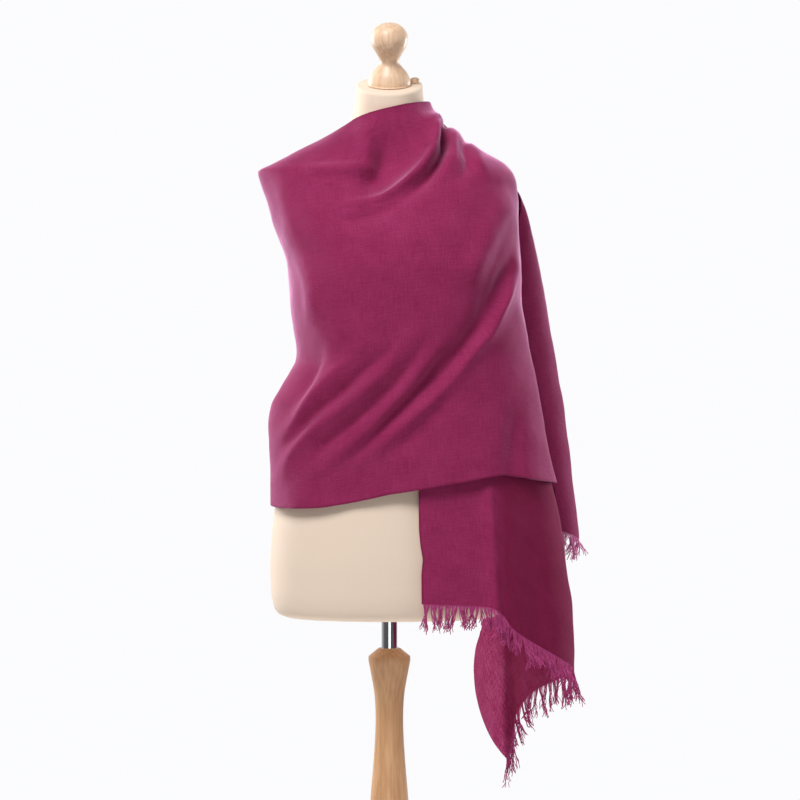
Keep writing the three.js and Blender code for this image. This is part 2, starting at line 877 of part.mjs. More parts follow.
// A strip that follows the lower edge of a sheet's wall, with one strand hung from each of its cells.
// A strand narrows quickly below the strip, sways a little and ends in a blunt tip.
function fringeGeometry(surface, across, rows, from, to, count) {
  const edge = (share, v) => {
    const place = lerp(from, to, share) * across;
    const i = Math.min(Math.floor(place), across - 1);
    return surface(i / across, v).lerp(surface((i + 1) / across, v), place - i);
  };
  const positions = [];
  const faces = [];
  const put = (point) => positions.push(point.x, point.y, point.z) / 3 - 1;
  const quad = (a, b, c, d) => faces.push(a, b, c, a, c, d);
  const frame = Array.from({ length: count + 1 }, (_, i) => {
    const share = i / count;
    const hem = edge(share, 1);
    const fall = hem.clone().sub(edge(share, rows.at(-2))).normalize();
    const way = edge(Math.min(share + 0.5 / count, 1), 1).sub(edge(Math.max(share - 0.5 / count, 0), 1));
    const inward = way.cross(fall).normalize();
    const at = (drop, depth) => hem.clone().addScaledVector(fall, drop).addScaledVector(inward, depth);
    const corners = [
      at(FRINGE_GAP, 0),
      at(FRINGE_GAP, CLOTH),
      at(FRINGE_GAP + FRINGE_STRIP, CLOTH),
      at(FRINGE_GAP + FRINGE_STRIP, 0),
    ];
    return { corners, index: corners.map(put) };
  });
  const DOWN = new THREE.Vector3(0, 0, -1);
  for (let i = 0; i < count; i++) {
    const a = frame[i];
    const b = frame[i + 1];
    quad(a.index[0], b.index[0], b.index[1], a.index[1]);
    quad(a.index[0], a.index[3], b.index[3], b.index[0]);
    quad(a.index[1], b.index[1], b.index[2], a.index[2]);
    let ring = [a.index[3], a.index[2], b.index[2], b.index[3]];
    const root = [a.corners[3], a.corners[2], b.corners[2], b.corners[3]];
    const centre = root.reduce((sum, p) => sum.add(p), new THREE.Vector3()).divideScalar(4);
    const sideways = b.corners[3].clone().sub(a.corners[3]).setZ(0).normalize();
    const length = STRAND_LENGTH * (0.85 + 0.1 * (Math.sin(i * 2.4) + Math.sin(i * 1.1 + 1)));
    const swing = 4 * Math.sin(i * 1.7 + 0.6);
    for (const { drop, width, sway } of STRAND) {
      const level = centre
        .clone()
        .addScaledVector(DOWN, drop * length)
        .addScaledVector(sideways, sway * swing);
      const outward = DOWN.clone().cross(sideways).normalize();
      const halfWidth = (width * STRAND_WIDTH) / 2;
      const halfDepth = (width * CLOTH) / 2;
      const next = [[-1, 1], [-1, -1], [1, -1], [1, 1]].map(([x, y]) =>
        put(level.clone().addScaledVector(sideways, x * halfWidth).addScaledVector(outward, y * halfDepth)),
      );
      ring.forEach((_, k) => quad(ring[k], ring[(k + 1) % 4], next[(k + 1) % 4], next[k]));
      ring = next;
    }
    quad(ring[0], ring[1], ring[2], ring[3]);
  }
  const first = frame[0].index;
  const last = frame[count].index;
  quad(first[0], first[1], first[2], first[3]);
  quad(last[0], last[3], last[2], last[1]);
  const geometry = new THREE.BufferGeometry();
  geometry.setAttribute("position", new THREE.Float32BufferAttribute(positions, 3));
  geometry.setIndex(faces);
  return geometry;
}

// Assembly
const shawlOnForm = new THREE.Group();
const figure = new THREE.Group(); // everything that is measured from the torso's underside
figure.position.z = TORSO_BOTTOM;
shawlOnForm.add(figure);

function addPiece(parent, name, geometry, look) {
  const mesh = new THREE.Mesh(geometry, new THREE.MeshStandardMaterial(COLOURS[look]));
  mesh.name = name;
  parent.add(mesh);
  return mesh;
}

// Rows of each wall: more of them near the shoulders, and the same heights on both sides of a seam
const evenly = (from, to, count) => Array.from({ length: count + 1 }, (_, i) => lerp(from, to, i / count));
const WRAP_ROWS = evenly(0, 1, 25).map((t) => 0.35 * t * t + 0.65 * t);
const UNDER_ROWS = [...WRAP_ROWS.map((v) => v * SEAM_SHARE), ...evenly(SEAM_SHARE, 1, FLARE_ROWS).slice(1)];
const OVER_ROWS = evenly(0, 1, 16).map((t) => 0.35 * t * t + 0.65 * t);
const UNDER_COLUMNS = 20;
const OVER_COLUMNS = 20;

addPiece(figure, "torso", torsoGeometry(), "jersey");
const neckTop = new THREE.Group(); // lies on the neck's leaning top
neckTop.position.set(0, -7, NECK_TOP - 7 * Math.tan(rad(NECK_TILT)));
neckTop.rotation.x = rad(NECK_TILT);
figure.add(neckTop);
const knob = addPiece(neckTop, "neck_knob", turned(KNOB_PROFILE, 18), "beech");
knob.position.z = SEAM_GAP;
const peg = addPiece(neckTop, "neck_peg", turned(PEG_PROFILE, 10), "beech");
peg.position.set(36, 16, SEAM_GAP);

addPiece(figure, "front_wrap", wall(frontWrap, 40, WRAP_ROWS, CLOTH), "cloth");
addPiece(figure, "back_wrap", wall(backWrap, 22, WRAP_ROWS, CLOTH), "cloth");
addPiece(figure, "under_end", wall(underEnd, UNDER_COLUMNS, UNDER_ROWS, CLOTH), "cloth");
addPiece(figure, "over_end", wall(overEnd, OVER_COLUMNS, OVER_ROWS, CLOTH), "cloth");
const fringes = [
  ["under_fringe_front", underEnd, UNDER_COLUMNS, UNDER_ROWS, 0.005, 0.56, 40],
  ["under_fringe_back", underEnd, UNDER_COLUMNS, UNDER_ROWS, 0.565, 0.995, 32],
  ["over_fringe", overEnd, OVER_COLUMNS, OVER_ROWS, 0.005, 0.995, 60],
];
for (const [name, surface, columns, rows, from, to, count] of fringes)
  addPiece(figure, name, fringeGeometry(surface, columns, rows, from, to, count), "cloth");

const pole = new THREE.CylinderGeometry(POLE_RADIUS, POLE_RADIUS, -SEAM_GAP - POLE_END, 20);
pole.rotateX(Math.PI / 2);
addPiece(figure, "pole", pole, "chrome").position.z = (POLE_END - SEAM_GAP) / 2;
addPiece(figure, "column", turned(COLUMN_PROFILE, 24), "beech");
addPiece(shawlOnForm, "base", turned(BASE_PROFILE, 40), "beech");

export default shawlOnForm;
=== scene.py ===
import math

import bpy
import numpy as np
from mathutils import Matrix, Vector


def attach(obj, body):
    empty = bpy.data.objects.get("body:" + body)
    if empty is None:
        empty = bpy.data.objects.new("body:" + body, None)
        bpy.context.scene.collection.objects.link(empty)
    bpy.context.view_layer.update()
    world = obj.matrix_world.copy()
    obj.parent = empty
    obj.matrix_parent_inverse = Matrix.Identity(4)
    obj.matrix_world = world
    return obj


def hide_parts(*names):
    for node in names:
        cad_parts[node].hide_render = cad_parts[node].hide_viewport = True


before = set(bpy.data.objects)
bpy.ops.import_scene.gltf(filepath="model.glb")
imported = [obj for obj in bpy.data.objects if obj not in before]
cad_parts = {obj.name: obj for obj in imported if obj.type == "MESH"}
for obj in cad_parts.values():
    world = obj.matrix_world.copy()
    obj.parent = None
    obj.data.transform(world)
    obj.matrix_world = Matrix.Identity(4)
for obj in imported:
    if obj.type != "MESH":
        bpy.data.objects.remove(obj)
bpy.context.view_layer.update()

# Sizes, in millimetres above the torso's underside unless a line says otherwise
MM = 0.001
TORSO_BOTTOM = 800
CLOTH_WALL = 1.3
CREASE_DEPTH = 1.2  # what each crease's own rise is multiplied by
NECK_TOP = 751
NECK_RIM = 4
NECK_TILT = 20  # degrees that the neck's top leans forward


# Curves through short tables with named columns


def table(columns, rows):
    names = columns.split()
    return [dict(zip(names, row)) for row in rows]


def smooth(rows, key, value):
    """A smooth curve through two columns of a table that never overshoots them."""
    ordered = sorted(rows, key=lambda row: row[key])
    xs = np.array([row[key] for row in ordered], float)
    ys = np.array([row[value] for row in ordered], float)
    secants = np.diff(ys) / np.diff(xs)
    slopes = np.zeros_like(xs)
    slopes[0], slopes[-1] = secants[0], secants[-1]
    before, after = secants[:-1], secants[1:]
    same_way = before * after > 0
    total = np.where(same_way, before + after, 1)
    slopes[1:-1] = np.where(same_way, 2 * before * after / total, 0)

    def at(x):
        x = np.clip(np.asarray(x, float), xs[0], xs[-1])
        i = np.clip(np.searchsorted(xs, x) - 1, 0, len(xs) - 2)
        h = xs[i + 1] - xs[i]
        t = (x - xs[i]) / h
        return (
            (2 * t**3 - 3 * t**2 + 1) * ys[i]
            + (t**3 - 2 * t**2 + t) * h * slopes[i]
            + (3 * t**2 - 2 * t**3) * ys[i + 1]
            + (t**3 - t**2) * h * slopes[i + 1]
        )

    return at


def straight(rows, key, value):
    """A broken line through two columns of a table."""
    xs = [row[key] for row in rows]
    ys = [row[value] for row in rows]
    return lambda x: np.interp(x, xs, ys)


def ease(t):
    t = np.clip(t, 0, 1)
    return t * t * (3 - 2 * t)


# The rings that the cloth lies on: level cuts round the form, as in the solids
RIGHT_SIDE = table(
    "z half",
    [
        (0, 172), (100, 173), (158, 167.5), (213, 167.8), (240, 169), (270, 171.5), (296, 168),
        (321, 155), (345, 141), (361, 133), (374, 131), (404, 135.4), (437, 139.7), (467, 141.1),
        (495, 144), (528, 154.5), (560, 165.8), (592, 175), (616, 183), (625, 185), (634, 174),
        (646, 152), (670, 108), (690, 77), (706, 64), (730, 60),
    ],
)
OUTER_LEFT_SIDE = table(
    "z half",
    [
        (180, 239), (220, 228.3), (262, 219.8), (305, 212.8), (333, 207), (377, 197.6), (410, 192),
        (442, 187), (467, 184.8), (501, 182.8), (545, 181.7), (585, 181), (610, 179.5), (622, 176),
        (636, 165), (646, 149), (660, 122), (675, 100), (690, 83), (705, 69), (716, 61), (726, 57),
    ],
)
OVER_END_SIDE = table(
    "z half",
    [
        (80, 275), (108, 273), (154, 268), (204, 262), (261, 255), (326, 245.5), (391, 234),
        (463, 221), (520, 209), (563, 198), (585, 189), (600, 183), (610, 179.5), (622, 176),
        (636, 165), (646, 149), (660, 122), (675, 100), (690, 83), (705, 69), (716, 61), (726, 57),
    ],
)
INNER_LEFT_SIDE = table(
    "z half",
    [
        (-240, 262), (-74, 261), (-25, 260), (12, 258), (48, 252), (119, 241), (174, 231),
        (220, 219), (262, 211), (305, 204), (377, 189.5), (442, 179), (501, 175), (545, 174),
        (585, 173.5), (606, 172), (618, 169), (630, 159), (646, 136), (660, 110), (675, 88),
        (690, 71), (705, 61.5), (720, 57),
    ],
)
OUTER_FRONT = table(
    "z depth",
    [
        (150, 131), (250, 136), (330, 142), (400, 149), (450, 153), (480, 154), (520, 147),
        (560, 133), (600, 112), (630, 96), (660, 83), (690, 73), (705, 69), (730, 66),
    ],
)
INNER_FRONT = table(
    "z depth",
    [
        (-80, 128), (0, 126), (60, 126), (110, 124), (180, 121), (250, 124), (330, 128),
        (400, 135), (450, 140), (480, 141.5), (520, 135), (560, 124), (600, 103), (630, 87),
        (660, 74), (690, 65), (705, 62), (730, 60),
    ],
)
INNER_BACK = table(
    "z depth",
    [
        (-240, 128), (0, 127), (60, 128), (100, 128), (150, 124), (200, 118), (250, 112),
        (300, 109), (370, 108), (450, 111), (520, 114), (560, 115), (592, 114), (612, 111),
        (630, 104), (646, 97), (670, 84), (690, 72), (705, 65), (730, 58),
    ],
)
FRONT_ROLL = table(
    "z depth",
    [
        (150, 44), (460, 45), (540, 52), (585, 75), (605, 112), (615, 121), (630, 114), (646, 107),
        (670, 94), (690, 82), (705, 74), (730, 67),
    ],
)
OVER_FRONT = table(
    "z depth",
    [(80, 72), (300, 71), (440, 68), (500, 55), (560, 29), (620, 20)],
)
OVER_BACK = table(
    "z depth",
    [
        (60, 84), (150, 81), (250, 78), (370, 76), (440, 76), (500, 86), (560, 104), (592, 117),
        (612, 121), (630, 114), (646, 107), (670, 94), (690, 82), (705, 74), (730, 67),
    ],
)
OVER_MIDDLE = table(
    "z y",
    [(80, 66), (300, 64), (440, 60), (500, 48), (560, 26), (595, 8), (612, 0), (730, 0)],
)
CENTRED = table("z y", [(0, 0), (700, 0)])
ROUNDNESS = 2.3


def ring_set(right, left, front, right_back, left_back, middle=CENTRED):
    """Returns points on the rings for angles and heights. 0 is the front and 90 the form's left."""
    half_right = smooth(right, "z", "half")
    half_left = smooth(left, "z", "half")
    depth_front = smooth(front, "z", "depth")
    depth_right_back = smooth(right_back, "z", "depth")
    depth_left_back = smooth(left_back, "z", "depth")
    middle_of = smooth(middle, "z", "y")

    def at(phi, z):
        s, c = np.sin(np.radians(phi)), np.cos(np.radians(phi))
        half = np.where(s < 0, half_right(z), half_left(z))
        behind = np.where(s < 0, depth_right_back(z), depth_left_back(z))
        depth = np.where(c < 0, behind, -depth_front(z))
        share = np.clip(1 - np.abs(s) ** ROUNDNESS, 0, 1) ** (1 / ROUNDNESS)
        return np.stack([s * half, middle_of(z) + depth * share, z], axis=-1)

    return at


def unit(v):
    return v / np.maximum(np.linalg.norm(v, axis=-1, keepdims=True), 1e-9)


def ring_normal(rings, phi, z):
    around = rings(phi + 0.5, z) - rings(phi - 0.5, z)
    up = rings(phi, z + 1) - rings(phi, z - 1)
    return unit(np.cross(around, up))


# Creases: a soft ridge or trough along a line of points in x and z


def crease(name, rise, above, below, fades, line):
    """rise is negative for a trough. above and below are its widths to either side of its line, and
    fades are the shares of its length over which it starts and ends.
    """
    return {"name": name, "rise": rise, "above": above, "below": below, "fades": fades, "line": line}


def through(points, count=24):
    """A smooth line through a few points."""
    points = np.array(points, float)
    if len(points) == 2:
        return np.linspace(points[0], points[1], count)
    padded = np.vstack([2 * points[0] - points[1], points, 2 * points[-1] - points[-2]])
    places = np.linspace(0, len(points) - 1, count)
    out = []
    for place in places:
        i = min(int(place), len(points) - 2)
        t = place - i
        p0, p1, p2, p3 = padded[i : i + 4]
        out.append(
            0.5
            * (
                2 * p1
                + (p2 - p0) * t
                + (2 * p0 - 5 * p1 + 4 * p2 - p3) * t**2
                + (3 * p1 - p0 - 3 * p2 + p3) * t**3
            )
        )
    return np.array(out)


def crease_rise(one, x, z):
    """How far a crease lifts each point. Its line runs down, and above is on the line's own right."""
    line = through(one["line"])
    nearest = np.full(x.shape, np.inf)
    along = np.zeros(x.shape)
    side = np.zeros(x.shape)
    steps = len(line) - 1
    for i in range(steps):
        way = line[i + 1] - line[i]
        fx, fz = x - line[i, 0], z - line[i, 1]
        t = np.clip((fx * way[0] + fz * way[1]) / (way @ way), 0, 1)
        away = np.hypot(fx - way[0] * t, fz - way[1] * t)
        closer = away < nearest
        nearest = np.where(closer, away, nearest)
        along = np.where(closer, (i + t) / steps, along)
        side = np.where(closer, way[0] * fz - way[1] * fx, side)
    width = np.where(side < 0, one["above"], one["below"])
    start, end = one["fades"]
    fade = np.ones(x.shape)
    if start:
        fade = fade * ease(along / start)
    if end:
        fade = fade * ease((1 - along) / end)
    return CREASE_DEPTH * one["rise"] * np.exp(-((nearest / width) ** 2)) * fade


WAVES = 9  # how many waves make a ripple
WIDE_RIPPLE = {"seed": 5, "size": 70, "rise": 0.6}
SMALL_RIPPLE = {"seed": 8, "size": 26, "rise": 0.12}
# A crease of the front or back fades out past the form's side, between these cosines of the angle
FADE_END = -0.2
FADE_WIDTH = 0.25


def ripple(points, seed, size, rise):
    """Soft uneven waves over the cloth, the same at a place whichever stretch it is on."""
    draw = np.random.default_rng(seed)
    out = np.zeros(points.shape[:-1])
    for _ in range(WAVES):
        way = unit(draw.normal(size=3)) * 2 * math.pi / (size * draw.uniform(0.7, 1.6))
        out += np.sin(points @ way + draw.uniform(0, 2 * math.pi))
    return out * rise / 3


def stretch(rings, top, bottom, start, end, creases=(), behind=(), spread=((0, 0), (1, 1))):
    """A stretch of cloth between its two selvedges and two upright edges. u goes round and v down.

    top and bottom are heights for angles round the form. start and end are the angles of the upright
    edges for shares of the way down. creases lie on the part of the ring that faces forward and behind
    on the part that faces back. spread crowds its columns where it turns most.
    """
    share_of = smooth(table("u share", spread), "u", "share")
    top_of = smooth(table("phi z", top), "phi", "z")
    bottom_of = smooth(table("phi z", bottom), "phi", "z")
    start_of = straight(table("v phi", start), "v", "phi")
    end_of = straight(table("v phi", end), "v", "phi")

    def at(u, v):
        share = share_of(u)
        phi = start_of(v) * (1 - share) + end_of(v) * share
        phi_top = start_of(0) * (1 - share) + end_of(0) * share
        phi_bottom = start_of(1) * (1 - share) + end_of(1) * share
        z = top_of(phi_top) * (1 - v) + bottom_of(phi_bottom) * v
        points = rings(phi, z)
        rise = ripple(points, **WIDE_RIPPLE) + ripple(points, **SMALL_RIPPLE)
        for group, facing in ((creases, 1), (behind, -1)):
            seen = np.clip((facing * np.cos(np.radians(phi)) - FADE_END) / FADE_WIDTH, 0, 1)
            rise += sum(crease_rise(one, points[..., 0], z) for one in group) * seen
        return points + ring_normal(rings, phi, z) * rise[..., None]

    return at


# Front wrap. The folds of the back run on round the right side
BACK_CREASES = [
    crease("nape fold", 7, 16, 10, (0.2, 0.5), [(84, 660), (50, 612), (-10, 572), (-110, 545)]),
    crease("nape valley", -6, 9, 14, (0.2, 0.5), [(88, 640), (56, 588), (0, 545), (-90, 512)]),
    crease("back fold", 7, 16, 12, (0.2, 0.4), [(104, 600), (76, 530), (20, 465), (-90, 415)]),
    crease("back valley", -7, 10, 14, (0.2, 0.4), [(112, 560), (84, 480), (24, 410), (-84, 356)]),
    crease(
        "waist fold", 6, 12, 12, (0.3, 0.35),
        [(118, 500), (92, 420), (30, 346), (-70, 290), (-130, 268)],
    ),
    crease(
        "waist valley", -7, 10, 12, (0.3, 0.3),
        [(120, 440), (90, 362), (20, 292), (-80, 246), (-140, 230)],
    ),
    crease(
        "low fold", 5, 12, 14, (0.35, 0.3),
        [(122, 380), (86, 300), (16, 236), (-84, 196), (-144, 184)],
    ),
    crease("low valley", -5, 12, 14, (0.35, 0.2), [(124, 320), (92, 236), (30, 172), (-40, 140)]),
    crease("hem fold", 4, 12, 14, (0.4, 0.2), [(126, 250), (104, 170), (64, 112)]),
]
OUTER_RINGS = ring_set(RIGHT_SIDE, OUTER_LEFT_SIDE, OUTER_FRONT, INNER_BACK, FRONT_ROLL)
PLEAT_VALLEY = crease(
    "pleat valley", -12, 18, 5, (0.3, 0.45),
    [
        (176, 545), (170, 507), (167, 481), (155, 457), (143, 428), (133, 402), (110, 375), (85, 344),
        (60, 317), (26, 288), (-3, 261), (-30, 237), (-62, 213),
    ],
)
FRONT_CREASES = [
    crease(
        "neck roll", 8, 15, 8, (0.1, 0.4),
        [
            (58, 710), (64, 694), (65, 679), (63, 653), (56, 638), (42, 621), (20, 602), (-3, 588),
            (-37, 577), (-99, 566),
        ],
    ),
    crease(
        "neck roll crest", 4.5, 6, 5, (0.12, 0.5),
        [
            (62, 694), (64, 679), (62, 653), (55, 638), (41, 621), (19, 602), (-4, 588), (-38, 578),
            (-75, 569), (-125, 566),
        ],
    ),
    crease(
        "deep neck valley", -14, 6, 11, (0.1, 0.75),
        [
            (70, 697), (75, 682), (77, 665), (73, 645), (63, 625), (49, 606), (31, 588), (9, 572),
            (-40, 550),
        ],
    ),
    crease(
        "second roll", 7, 8, 13, (0.1, 0.5),
        [(78, 693), (86, 679), (88, 665), (82, 645), (71, 625), (54, 601), (8, 560)],
    ),
    crease(
        "valley past it", -8, 8, 10, (0.4, 0.5),
        [(91, 676), (101, 661), (108, 648), (110, 634), (102, 617), (84, 590)],
    ),
    crease(
        "third roll", 5, 8, 12, (0.15, 0.5),
        [(106, 667), (114, 652), (119, 637), (130, 622), (140, 596)],
    ),
    crease(
        "cowl trough", -15, 17, 46, (0.35, 0.4),
        [(8, 700), (-2, 655), (-8, 630), (-22, 610), (-42, 600), (-90, 602)],
    ),
    crease(
        "cowl lip", 5, 15, 12, (0.3, 0.5),
        [(-28, 702), (-32, 675), (-30, 653), (-26, 630), (-20, 612)],
    ),
    crease("chest ridge", 4.5, 9, 8, (0.3, 0.3), [(-14, 627), (-31, 624), (-79, 622), (-125, 620)]),
    crease(
        "under neck roll", -4, 8, 16, (0.3, 0.4),
        [(25, 580), (0, 566), (-30, 556), (-60, 548), (-100, 545)],
    ),
    crease(
        "broad shoulder ridge", 7, 20, 15, (0.25, 0.45),
        [(172, 604), (160, 575), (144, 542), (130, 511), (117, 483), (108, 464), (92, 436)],
    ),
    crease(
        "pleat hollow", -3, 24, 9, (0.25, 0.4),
        [
            (170, 570), (162, 539), (151, 509), (137, 475), (129, 441), (121, 416), (110, 394), (95, 373),
            (78, 348), (61, 332), (34, 303), (10, 279), (-27, 247), (-67, 220),
        ],
    ),
    PLEAT_VALLEY,
    crease(
        "pleat ridge", 7, 6, 14, (0.3, 0.35),
        [
            (181, 545), (180, 520), (175, 490), (164, 461), (151, 430), (137, 404), (128, 392),
            (110, 372), (91, 349), (72, 328), (53, 310), (29, 284), (0, 257), (-27, 234), (-60, 209),
        ],
    ),
    crease(
        "pleat crest", 3.5, 3.5, 5, (0.25, 0.4),
        [(179, 520), (173, 489), (163, 460), (151, 430), (128, 391), (91, 348), (53, 309), (0, 256)],
    ),
    crease(
        "below pleat", -4, 8, 17, (0.3, 0.4),
        [(94, 325), (72, 300), (47, 275), (22, 252), (-3, 230), (-28, 208)],
    ),
    crease(
        "first waist valley", -7, 10, 7, (0.3, 0.4),
        [(96, 392), (78, 367), (56, 337), (35, 314), (10, 288), (-18, 260), (-52, 229), (-100, 193)],
    ),
    crease(
        "first waist ridge", 4.5, 8, 10, (0.35, 0.35),
        [
            (90, 404), (66, 366), (35, 324), (10, 300), (-15, 275), (-40, 253), (-71, 228), (-104, 200),
            (-134, 172),
        ],
    ),
    crease(
        "second waist valley", -7, 10, 8, (0.35, 0.3),
        [
            (76, 412), (53, 384), (28, 350), (3, 322), (-21, 300), (-53, 272), (-84, 247), (-109, 225),
            (-140, 190),
        ],
    ),
    crease(
        "second waist ridge", 6, 10, 9, (0.4, 0.3),
        [
            (54, 420), (22, 381), (-3, 350), (-28, 325), (-56, 300), (-78, 285), (-103, 266), (-124, 246),
            (-140, 225), (-150, 190), (-152, 165),
        ],
    ),
    crease(
        "hip valley", -6.5, 10, 8, (0.35, 0.3),
        [
            (14, 395), (-3, 369), (-28, 347), (-53, 324), (-78, 303), (-100, 286), (-120, 266),
            (-137, 241), (-152, 205),
        ],
    ),
    crease(
        "hip ridge", 6, 11, 9, (0.4, 0.35),
        [
            (-20, 398), (-41, 375), (-62, 353), (-84, 331), (-110, 308), (-128, 288), (-144, 262),
            (-155, 234), (-160, 195),
        ],
    ),
    crease(
        "upper hip valley", -8, 20, 11, (0.3, 0.35),
        [(-88, 392), (-100, 360), (-116, 326), (-132, 296), (-145, 268), (-152, 236)],
    ),
    crease(
        "side bend", 4, 10, 14, (0.5, 0.2),
        [(-165, 616), (-150, 590), (-140, 550), (-125, 508), (-111, 465), (-107, 429), (-110, 385)],
    ),
    crease(
        "hem against the form", -9, 55, 60, (0.3, 0.5),
        [(40, 226), (-20, 192), (-80, 174), (-150, 172)],
    ),
    crease("over the ridge", 3, 34, 36, (0.6, 0), [(140, 350), (144, 250), (147, 190)]),
    crease("low right trough", -5, 16, 14, (0.5, 0), [(176, 330), (172, 250), (168, 196)]),
]
front_wrap_at = stretch(
    OUTER_RINGS,
    top=[
        (-120, 629), (-100, 626), (-90, 625), (-80, 626.5), (-70, 635), (-65, 651), (-60, 667),
        (-52, 684), (-42, 695), (-30, 701), (-18, 705), (0, 710), (25, 716), (50, 720), (70, 722),
        (97, 722),
    ],
    bottom=[
        (-120, 150), (-90, 157), (-62, 155), (-40, 156), (-20, 163), (0, 175), (25, 192), (43, 201),
        (60, 194), (90, 188), (100, 187), (102.5, 184), (104, 177),
    ],
    start=[(0, -120), (1, -120)],
    end=[(0, 97), (0.23, 97), (0.36, 102), (1, 104)],
    creases=FRONT_CREASES,
    behind=BACK_CREASES,
    spread=((0, 0), (0.1, 0.13), (0.2, 0.22), (0.3, 0.3), (0.6, 0.59), (0.85, 0.86), (1, 1)),
)

# Back wrap
SEAM_TOP = 704
SEAM_FOOT = 45
TIP = -220
SEAM_SHARE = (SEAM_TOP - SEAM_FOOT) / (SEAM_TOP - TIP)
INNER_RINGS = ring_set(RIGHT_SIDE, INNER_LEFT_SIDE, INNER_FRONT, INNER_BACK, INNER_BACK)
back_wrap_at = stretch(
    INNER_RINGS,
    top=[
        (108, 704), (150, 702), (180, 699), (196, 690), (208, 672), (222, 648), (232, 634),
        (240, 629),
    ],
    bottom=[(141.7, SEAM_FOOT), (160, 60), (180, 79), (205, 108), (225, 136), (240, 150)],
    start=[(0, 112.1), (1, 142.1)],
    end=[(0, 239.98), (1, 239.98)],
    behind=BACK_CREASES,
)

# Under end
# Degrees that the corner's selvedge swings back below the seam's foot, for shares of the way down
FLARE = smooth(
    table(
        "share swing",
        [
            (0, 0), (0.157, 2.2), (0.3, 7.4), (0.4, 9.4), (0.5, 10), (0.6, 9.6), (0.7, 8.4), (0.8, 6.4),
            (0.9, 3.4), (1, -1),
        ],
    ),
    "share",
    "swing",
)
FLARE_STEPS = np.linspace(0, 1, 25)
UNDER_CREASES = [
    PLEAT_VALLEY,
    crease("upright ridge", 8, 12, 60, (0.3, 0), [(132, 235), (138, 120), (143, 20), (145, -40)]),
    crease("ridge crest", 3.5, 7, 6, (0.2, 0), [(134, 225), (139, 120), (144, 20), (146, -40)]),
    crease("right hollow", -4, 26, 20, (0.3, 0), [(182, 250), (196, 120), (206, 0), (212, -80)]),
]
UNDER_CREASES_BEHIND = [
    crease("corner fold", 14, 22, 24, (0.3, 0), [(168, 20), (167, -60), (169, -140), (173, TIP)]),
    crease("corner fold crest", 8, 8, 8, (0.3, 0), [(168, 20), (167, -60), (169, -140), (173, TIP)]),
    crease("side fold", 6, 18, 18, (0.3, 0.2), [(222, 200), (226, 60), (226, -100)]),
    crease("seam fold", -5, 14, 14, (0.2, 0.3), [(196, 420), (200, 250), (204, 80)]),
]
under_end_at = stretch(
    INNER_RINGS,
    top=[(40, 701), (80, SEAM_TOP), (156, SEAM_TOP)],
    bottom=[
        (8, 27), (20, 25), (31, 22), (36, 12), (40, -8), (46, -22), (54, -36), (66, -54), (80, -69),
        (92, -78), (104, -88), (112, -96), (121, -107), (128, -119), (134, -139), (138, -162),
        (139.5, -196), (141, TIP),
    ],
    start=[
        (0, 88), (0.07, 70), (0.2, 34), (0.35, 16), (0.6, 11.5), (0.8, 10), (0.85, 9.8), (0.88, 10.1),
        (0.91, 10.8), (0.94, 10.2), (1, 10),
    ],
    end=[(0, 112)] + [(SEAM_SHARE + (1 - SEAM_SHARE) * t, 142 + FLARE(t)) for t in FLARE_STEPS],
    creases=UNDER_CREASES,
    behind=UNDER_CREASES_BEHIND,
    spread=((0, 0), (0.5, 0.47), (0.85, 0.88), (0.94, 0.985), (1, 1)),
)

# Over end
OVER_RINGS = ring_set(RIGHT_SIDE, OVER_END_SIDE, OVER_FRONT, OVER_BACK, OVER_BACK, OVER_MIDDLE)
OVER_CREASES = [
    crease("inner fold", 12, 16, 16, (0.25, 0), [(66, 690), (64, 430), (66, 80)]),
    crease("inner valley", -11, 16, 16, (0.25, 0), [(84, 670), (98, 430), (108, 80)]),
    crease("middle fold", 13, 17, 17, (0.25, 0), [(104, 650), (129, 430), (152, 80)]),
    crease("outer valley", -11, 17, 17, (0.25, 0), [(128, 630), (161, 430), (196, 80)]),
]
over_end_at = stretch(
    OVER_RINGS,
    top=[(90, 725), (170, 722)],
    bottom=[(62, 119), (90, 105), (112, 112), (130, 112), (150, 96), (176, 82)],
    start=[
        (0, 97.1), (0.19, 97.3), (0.22, 88), (0.235, 78), (0.27, 67), (0.34, 60), (0.43, 56.5),
        (0.55, 56), (0.66, 56.6), (0.76, 58.4), (0.86, 62), (1, 62.8),
    ],
    end=[(0, 160), (0.5, 172), (1, 176)],
    behind=OVER_CREASES,
)


# Meshes


def put_in_scene(name, mesh):
    piece = bpy.data.objects.new(name, mesh)
    bpy.context.scene.collection.objects.link(piece)
    return piece


ROW_CROWDING = 0.25  # how much closer the rows of faces lie at the top, where the folds are tight
SHADED_SHARE = 0.65  # how much of the inside's paler tone, which is painted light through the weave, a shaded part loses as painted shade
SHADE_EDGE = 8  # width over which the inside turns darker
CLOTH_CORNER = math.radians(60)  # a sharper angle than this stays an edge


